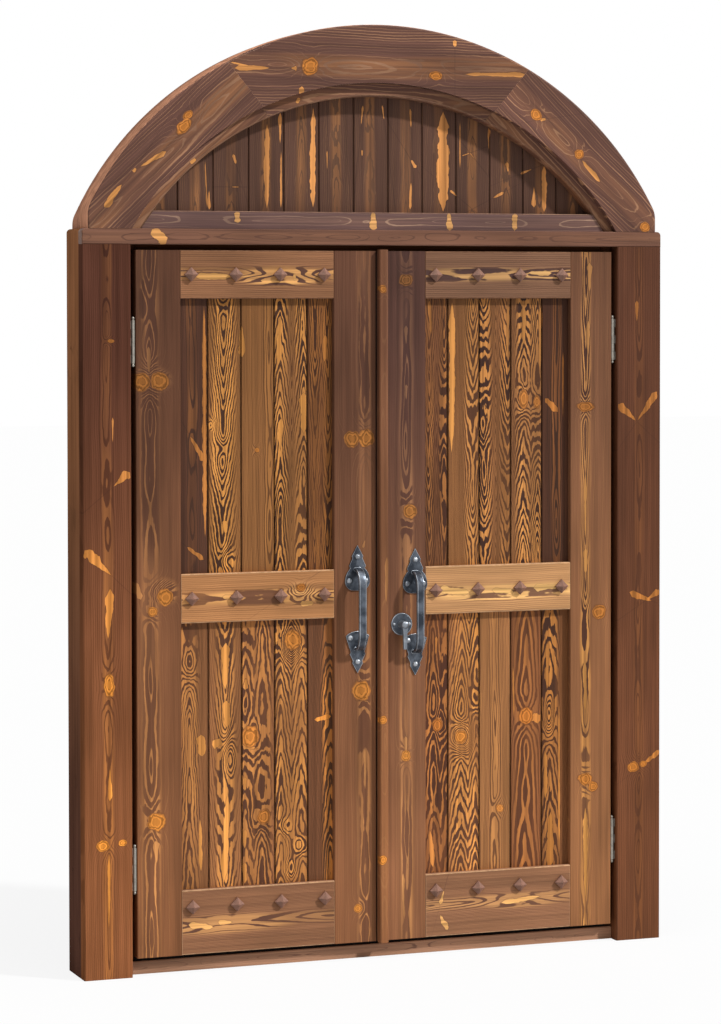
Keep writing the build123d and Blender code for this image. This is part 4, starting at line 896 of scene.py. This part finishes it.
def round_arrises(names, width, recolour, bluntest=35.0):
    """Break the edges of these pieces that turn by more than this angle, with the finish given on them, which
    on many pieces is a painted highlight or painted shade.
    """
    for name in names:
        piece = nodes[name]
        piece.data.materials.append(recolour)
        weld = piece.modifiers.new("weld", "WELD")
        weld.merge_threshold = WELD_REACH
        bevel = piece.modifiers.new("arrises", "BEVEL")
        bevel.width = width
        bevel.segments = 2
        bevel.limit_method = "ANGLE"
        bevel.angle_limit = math.radians(bluntest)
        bevel.material = len(piece.data.materials) - 1


# Outwards is judged from a height near the centre of the arcs, on faces above the arch's foot
ARCH_CENTRE = 1.9
ARCH_FOOT = 2.1

# Colours on screen of the painted light on the arch's outer faces, which face upwards and are drawn lighter
# as if lit, and of the painted shadow on the threshold's top
OUTER_FACE_PAINTED_LIGHT = {"front": (212, 152, 120), "back": (184, 132, 106)}
TREAD_PAINTED_SHADOW = (40, 27, 22)


def paint_light_on_outer_faces(name, shade):
    """Give the rounded outer faces of an arch segment a lighter wood colour: painted light, as if these
    upward faces caught the light.
    """
    mesh = nodes[name].data
    mesh.materials.append(plain_wood(f"{name}_outside_painted_light", shade))
    for face in mesh.polygons:
        out = face.normal.x * face.center.x + face.normal.z * (face.center.z - ARCH_CENTRE)
        if abs(face.normal.y) < 0.5 and out > 0.1 and face.center.z > ARCH_FOOT:
            face.material_index = 1


def paint_shadow_on_tread(shade):
    """Paint shadow on the top of the threshold, which lies in the gap under the leaves: a near black wood
    colour for the shade there.
    """
    mesh = nodes["threshold"].data
    mesh.materials.append(plain_wood("tread", shade))
    for face in mesh.polygons:
        if face.normal.z > 0.9:
            face.material_index = len(mesh.materials) - 1


# Painted light: the outer faces of each arch segment are drawn lighter than its front
for side in ARCH_SLOPES:
    for layer, shade in OUTER_FACE_PAINTED_LIGHT.items():
        paint_light_on_outer_faces(f"arch_{layer}_{side}", shade)

# Arrises: pieces, width, and the colour on screen of their rounded edges. The pale ones of the arch and of
# the mid and bottom rails are painted highlights, the dark ones of the boards painted shade in their joints
ARRISES = (
    # Painted highlights along the edges of the arch
    ([f"arch_front_{side}" for side in ARCH_SLOPES], 0.0022, (242, 198, 172)),
    ([f"arch_back_{side}" for side in ARCH_SLOPES], 0.0015, (222, 176, 150)),
    ([f"arch_bead_{side}" for side in ARCH_SLOPES] + ["base_rail"], 0.0015, (132, 100, 80)),
    # Painted highlights along the edges of the mid and bottom rails
    (["left_mid_rail", "right_mid_rail", "left_bottom_rail", "right_bottom_rail"], 0.0010, (196, 156, 120)),
    (["left_top_rail", "right_top_rail", "cover_strip", "head_board", "threshold"], 0.0010, (136, 98, 74)),
    (["left_post", "right_post", "left_jamb_board", "right_jamb_board"], 0.0015, (132, 96, 74)),
    (
        ["left_hinge_stile", "left_meeting_stile", "right_lock_stile", "right_hinge_stile"],
        0.0008, (128, 92, 66),
    ),
    # Painted shade in the joints between the boards
    (list(BOARDS), 0.0020, (58, 38, 28)),
    (["lunette_boards"], 0.0020, (54, 36, 28)),
)
ARRIS_SHEEN = 0.02
for names, width, shade in ARRISES:
    round_arrises(names, width, plain_wood(f"worn_{names[0]}", shade, ARRIS_SHEEN))
# Painted shadow on the threshold's top under the leaves
paint_shadow_on_tread(TREAD_PAINTED_SHADOW)

# Rubber seals: half the section of a strip, as shares of its half width and of its reach from the root
LIP = ((1.0, 0.0), (1.0, 0.10), (0.36, 0.14), (0.30, 0.66), (0.42, 0.80), (0.30, 0.96), (0.0, 1.0))

# Where they stand: the meeting edge of the left leaf, the foot of the leaves, and two depths
STILE_EDGE = -0.0125
LEAF_FOOT = 0.052
MEETING_SEAL_Y = -0.0675
BOTTOM_SEAL_Y = -0.0345

# Their half widths and reaches
MEETING_SEAL = (0.0040, 0.0038)
BOTTOM_SEAL = (0.0050, 0.0138)
rubber = plain_wood("rubber", (30, 27, 26))


def rubber_seal(name, body, half_width, reach, ends, place):
    """A ribbed rubber strip in the edge of a leaf, whose round lip closes the gap beside it."""
    section = list(LIP) + [(-side, out) for side, out in reversed(LIP[:-1])]
    count = len(section)
    corners = [place(side * half_width, out * reach, along) for along in ends for side, out in section]
    faces = [(i, (i + 1) % count, count + (i + 1) % count, count + i) for i in range(count)]
    faces += [tuple(range(count)), tuple(range(2 * count - 1, count - 1, -1))]
    mesh = bpy.data.meshes.new(name)
    mesh.from_pydata(corners, [], faces)
    mesh.materials.append(rubber)
    piece = bpy.data.objects.new(name, mesh)
    scene.collection.objects.link(piece)
    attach(piece, body)


def beside_stile(side, out, along):
    """A point of the strip on the meeting edge of the left leaf."""
    return (STILE_EDGE + out, MEETING_SEAL_Y + side, along)


def under_leaf(side, out, along):
    """A point of a strip under a leaf."""
    return (along, BOTTOM_SEAL_Y + side, LEAF_FOOT - out)


rubber_seal("meeting_seal", "left_leaf", *MEETING_SEAL, (0.0522, 2.080), beside_stile)
rubber_seal("left_bottom_seal", "left_leaf", *BOTTOM_SEAL, (-0.7420, -0.0090), under_leaf)
rubber_seal("right_bottom_seal", "right_leaf", *BOTTOM_SEAL, (-0.0086, 0.7420), under_leaf)

# Iron and steel, and the nails' paint
iron = forged_iron("forged_iron", (46, 51, 59), (88, 94, 103), 0.42)
bright_iron = forged_iron("bright_iron", (116, 122, 130), (168, 173, 179), 0.34)
# Iron of the broken edges: lighter as rubbed metal, and also a painted highlight along the edges
rubbed_and_highlit_iron = forged_iron("rubbed_and_highlit_iron", (136, 142, 150), (180, 185, 191), 0.36)
hinge_steel = plain_metal("hinge_steel", rgb(158, 153, 143), 0.35, 0.6)
latch_steel = plain_metal("latch_steel", rgb(150, 150, 150), 0.4, 0.9)
nail_paint = plain_metal("nail_paint", rgb(126, 87, 69), 0.42, 0.0)
for name in ("left_pull", "right_pull", "rose"):
    dress(name, iron)
for name in ("turn_lever", "left_pull_screws", "right_pull_screws", "rose_screws"):
    dress(name, bright_iron)
round_arrises(("left_pull", "right_pull", "rose", "turn_lever"), 0.0011, rubbed_and_highlit_iron, 28.0)
for name in nodes:
    if "hinge_" in name and name.split("_")[-1] in ("plates", "pins", "screws"):
        dress(name, hinge_steel)
for name in ("strike_plate", "latch_case", "latch_cam", "latch_bolt"):
    dress(name, latch_steel)
for name in ("left_nails", "right_nails"):
    dress(name, nail_paint)


def make_stage():
    """Plain white floor that runs out to a white horizon."""
    mesh = bpy.data.meshes.new("floor")
    size = FLOOR_REACH
    corners = [(-size, -size, 0.0), (size, -size, 0.0), (size, size, 0.0), (-size, size, 0.0)]
    mesh.from_pydata(corners, [], [(0, 1, 2, 3)])
    floor = bpy.data.objects.new("floor", mesh)
    scene.collection.objects.link(floor)
    material, g, shader = new_material("floor_white")
    shader.inputs["Base Color"].default_value = (FLOOR_GREY, FLOOR_GREY, FLOOR_GREY, 1.0)
    shader.inputs["Roughness"].default_value = 1.0
    shader.inputs["Specular IOR Level"].default_value = 0.0
    glow = g.add("ShaderNodeEmission")
    blend = g.add("ShaderNodeMixShader")
    seen = g.add("ShaderNodeLightPath").outputs["Is Camera Ray"]
    g.put(g.math("MULTIPLY", seen, FLOOR_GLOW), blend.inputs[0])
    g.put(shader.outputs[0], blend.inputs[1])
    g.put(glow.outputs[0], blend.inputs[2])
    g.put(blend.outputs[0], material.node_tree.nodes["Material Output"].inputs["Surface"])
    mesh.materials.append(material)


def add_lamp(name, travel, strength, angle):
    """A lamp far away that shines in this direction."""
    light = bpy.data.lights.new(name, "SUN")
    light.energy = strength
    light.angle = math.radians(angle)
    lamp = bpy.data.objects.new(name, light)
    lamp.rotation_mode = "QUATERNION"
    lamp.rotation_quaternion = Vector(travel).to_track_quat("-Z", "Y")
    scene.collection.objects.link(lamp)


def make_lights():
    """Sun from the right, soft light from above, and a white sky that lights the part only a little."""
    add_lamp("sun", SUN_TRAVEL, SUN_STRENGTH, SUN_ANGLE)
    add_lamp("above", TOP_TRAVEL, TOP_STRENGTH, TOP_ANGLE)
    world = bpy.data.worlds.new("studio")
    scene.world = world
    world.use_nodes = True
    g = Graph(world.node_tree)
    back = world.node_tree.nodes["Background"]
    path = g.add("ShaderNodeLightPath").outputs
    shown = g.math("MAXIMUM", path["Is Glossy Ray"], path["Is Transmission Ray"])
    seen = g.math("MAXIMUM", path["Is Camera Ray"], shown)
    back.inputs["Color"].default_value = (1.0, 1.0, 1.0, 1.0)
    g.put(g.smooth(seen, 0.0, 1.0, SKY_STRENGTH, 1.0), back.inputs["Strength"])


def make_camera():
    """The camera that took the photograph, as fitted to its points."""
    data = bpy.data.cameras.new("camera")
    data.lens = CAMERA_LENS
    data.sensor_width = CAMERA_SENSOR
    data.shift_y = CAMERA_SHIFT_Y
    data.clip_end = CAMERA_REACH
    camera = bpy.data.objects.new("camera", data)
    right, up, forward = (Vector(v) for v in (CAMERA_RIGHT, CAMERA_UP, CAMERA_FORWARD))
    turn = Matrix((right, up, -forward)).transposed()
    camera.matrix_world = Matrix.Translation(CAMERA_PLACE) @ turn.to_4x4()
    scene.collection.objects.link(camera)
    scene.camera = camera


make_stage()
make_lights()
make_camera()
scene.view_settings.view_transform = "Standard"
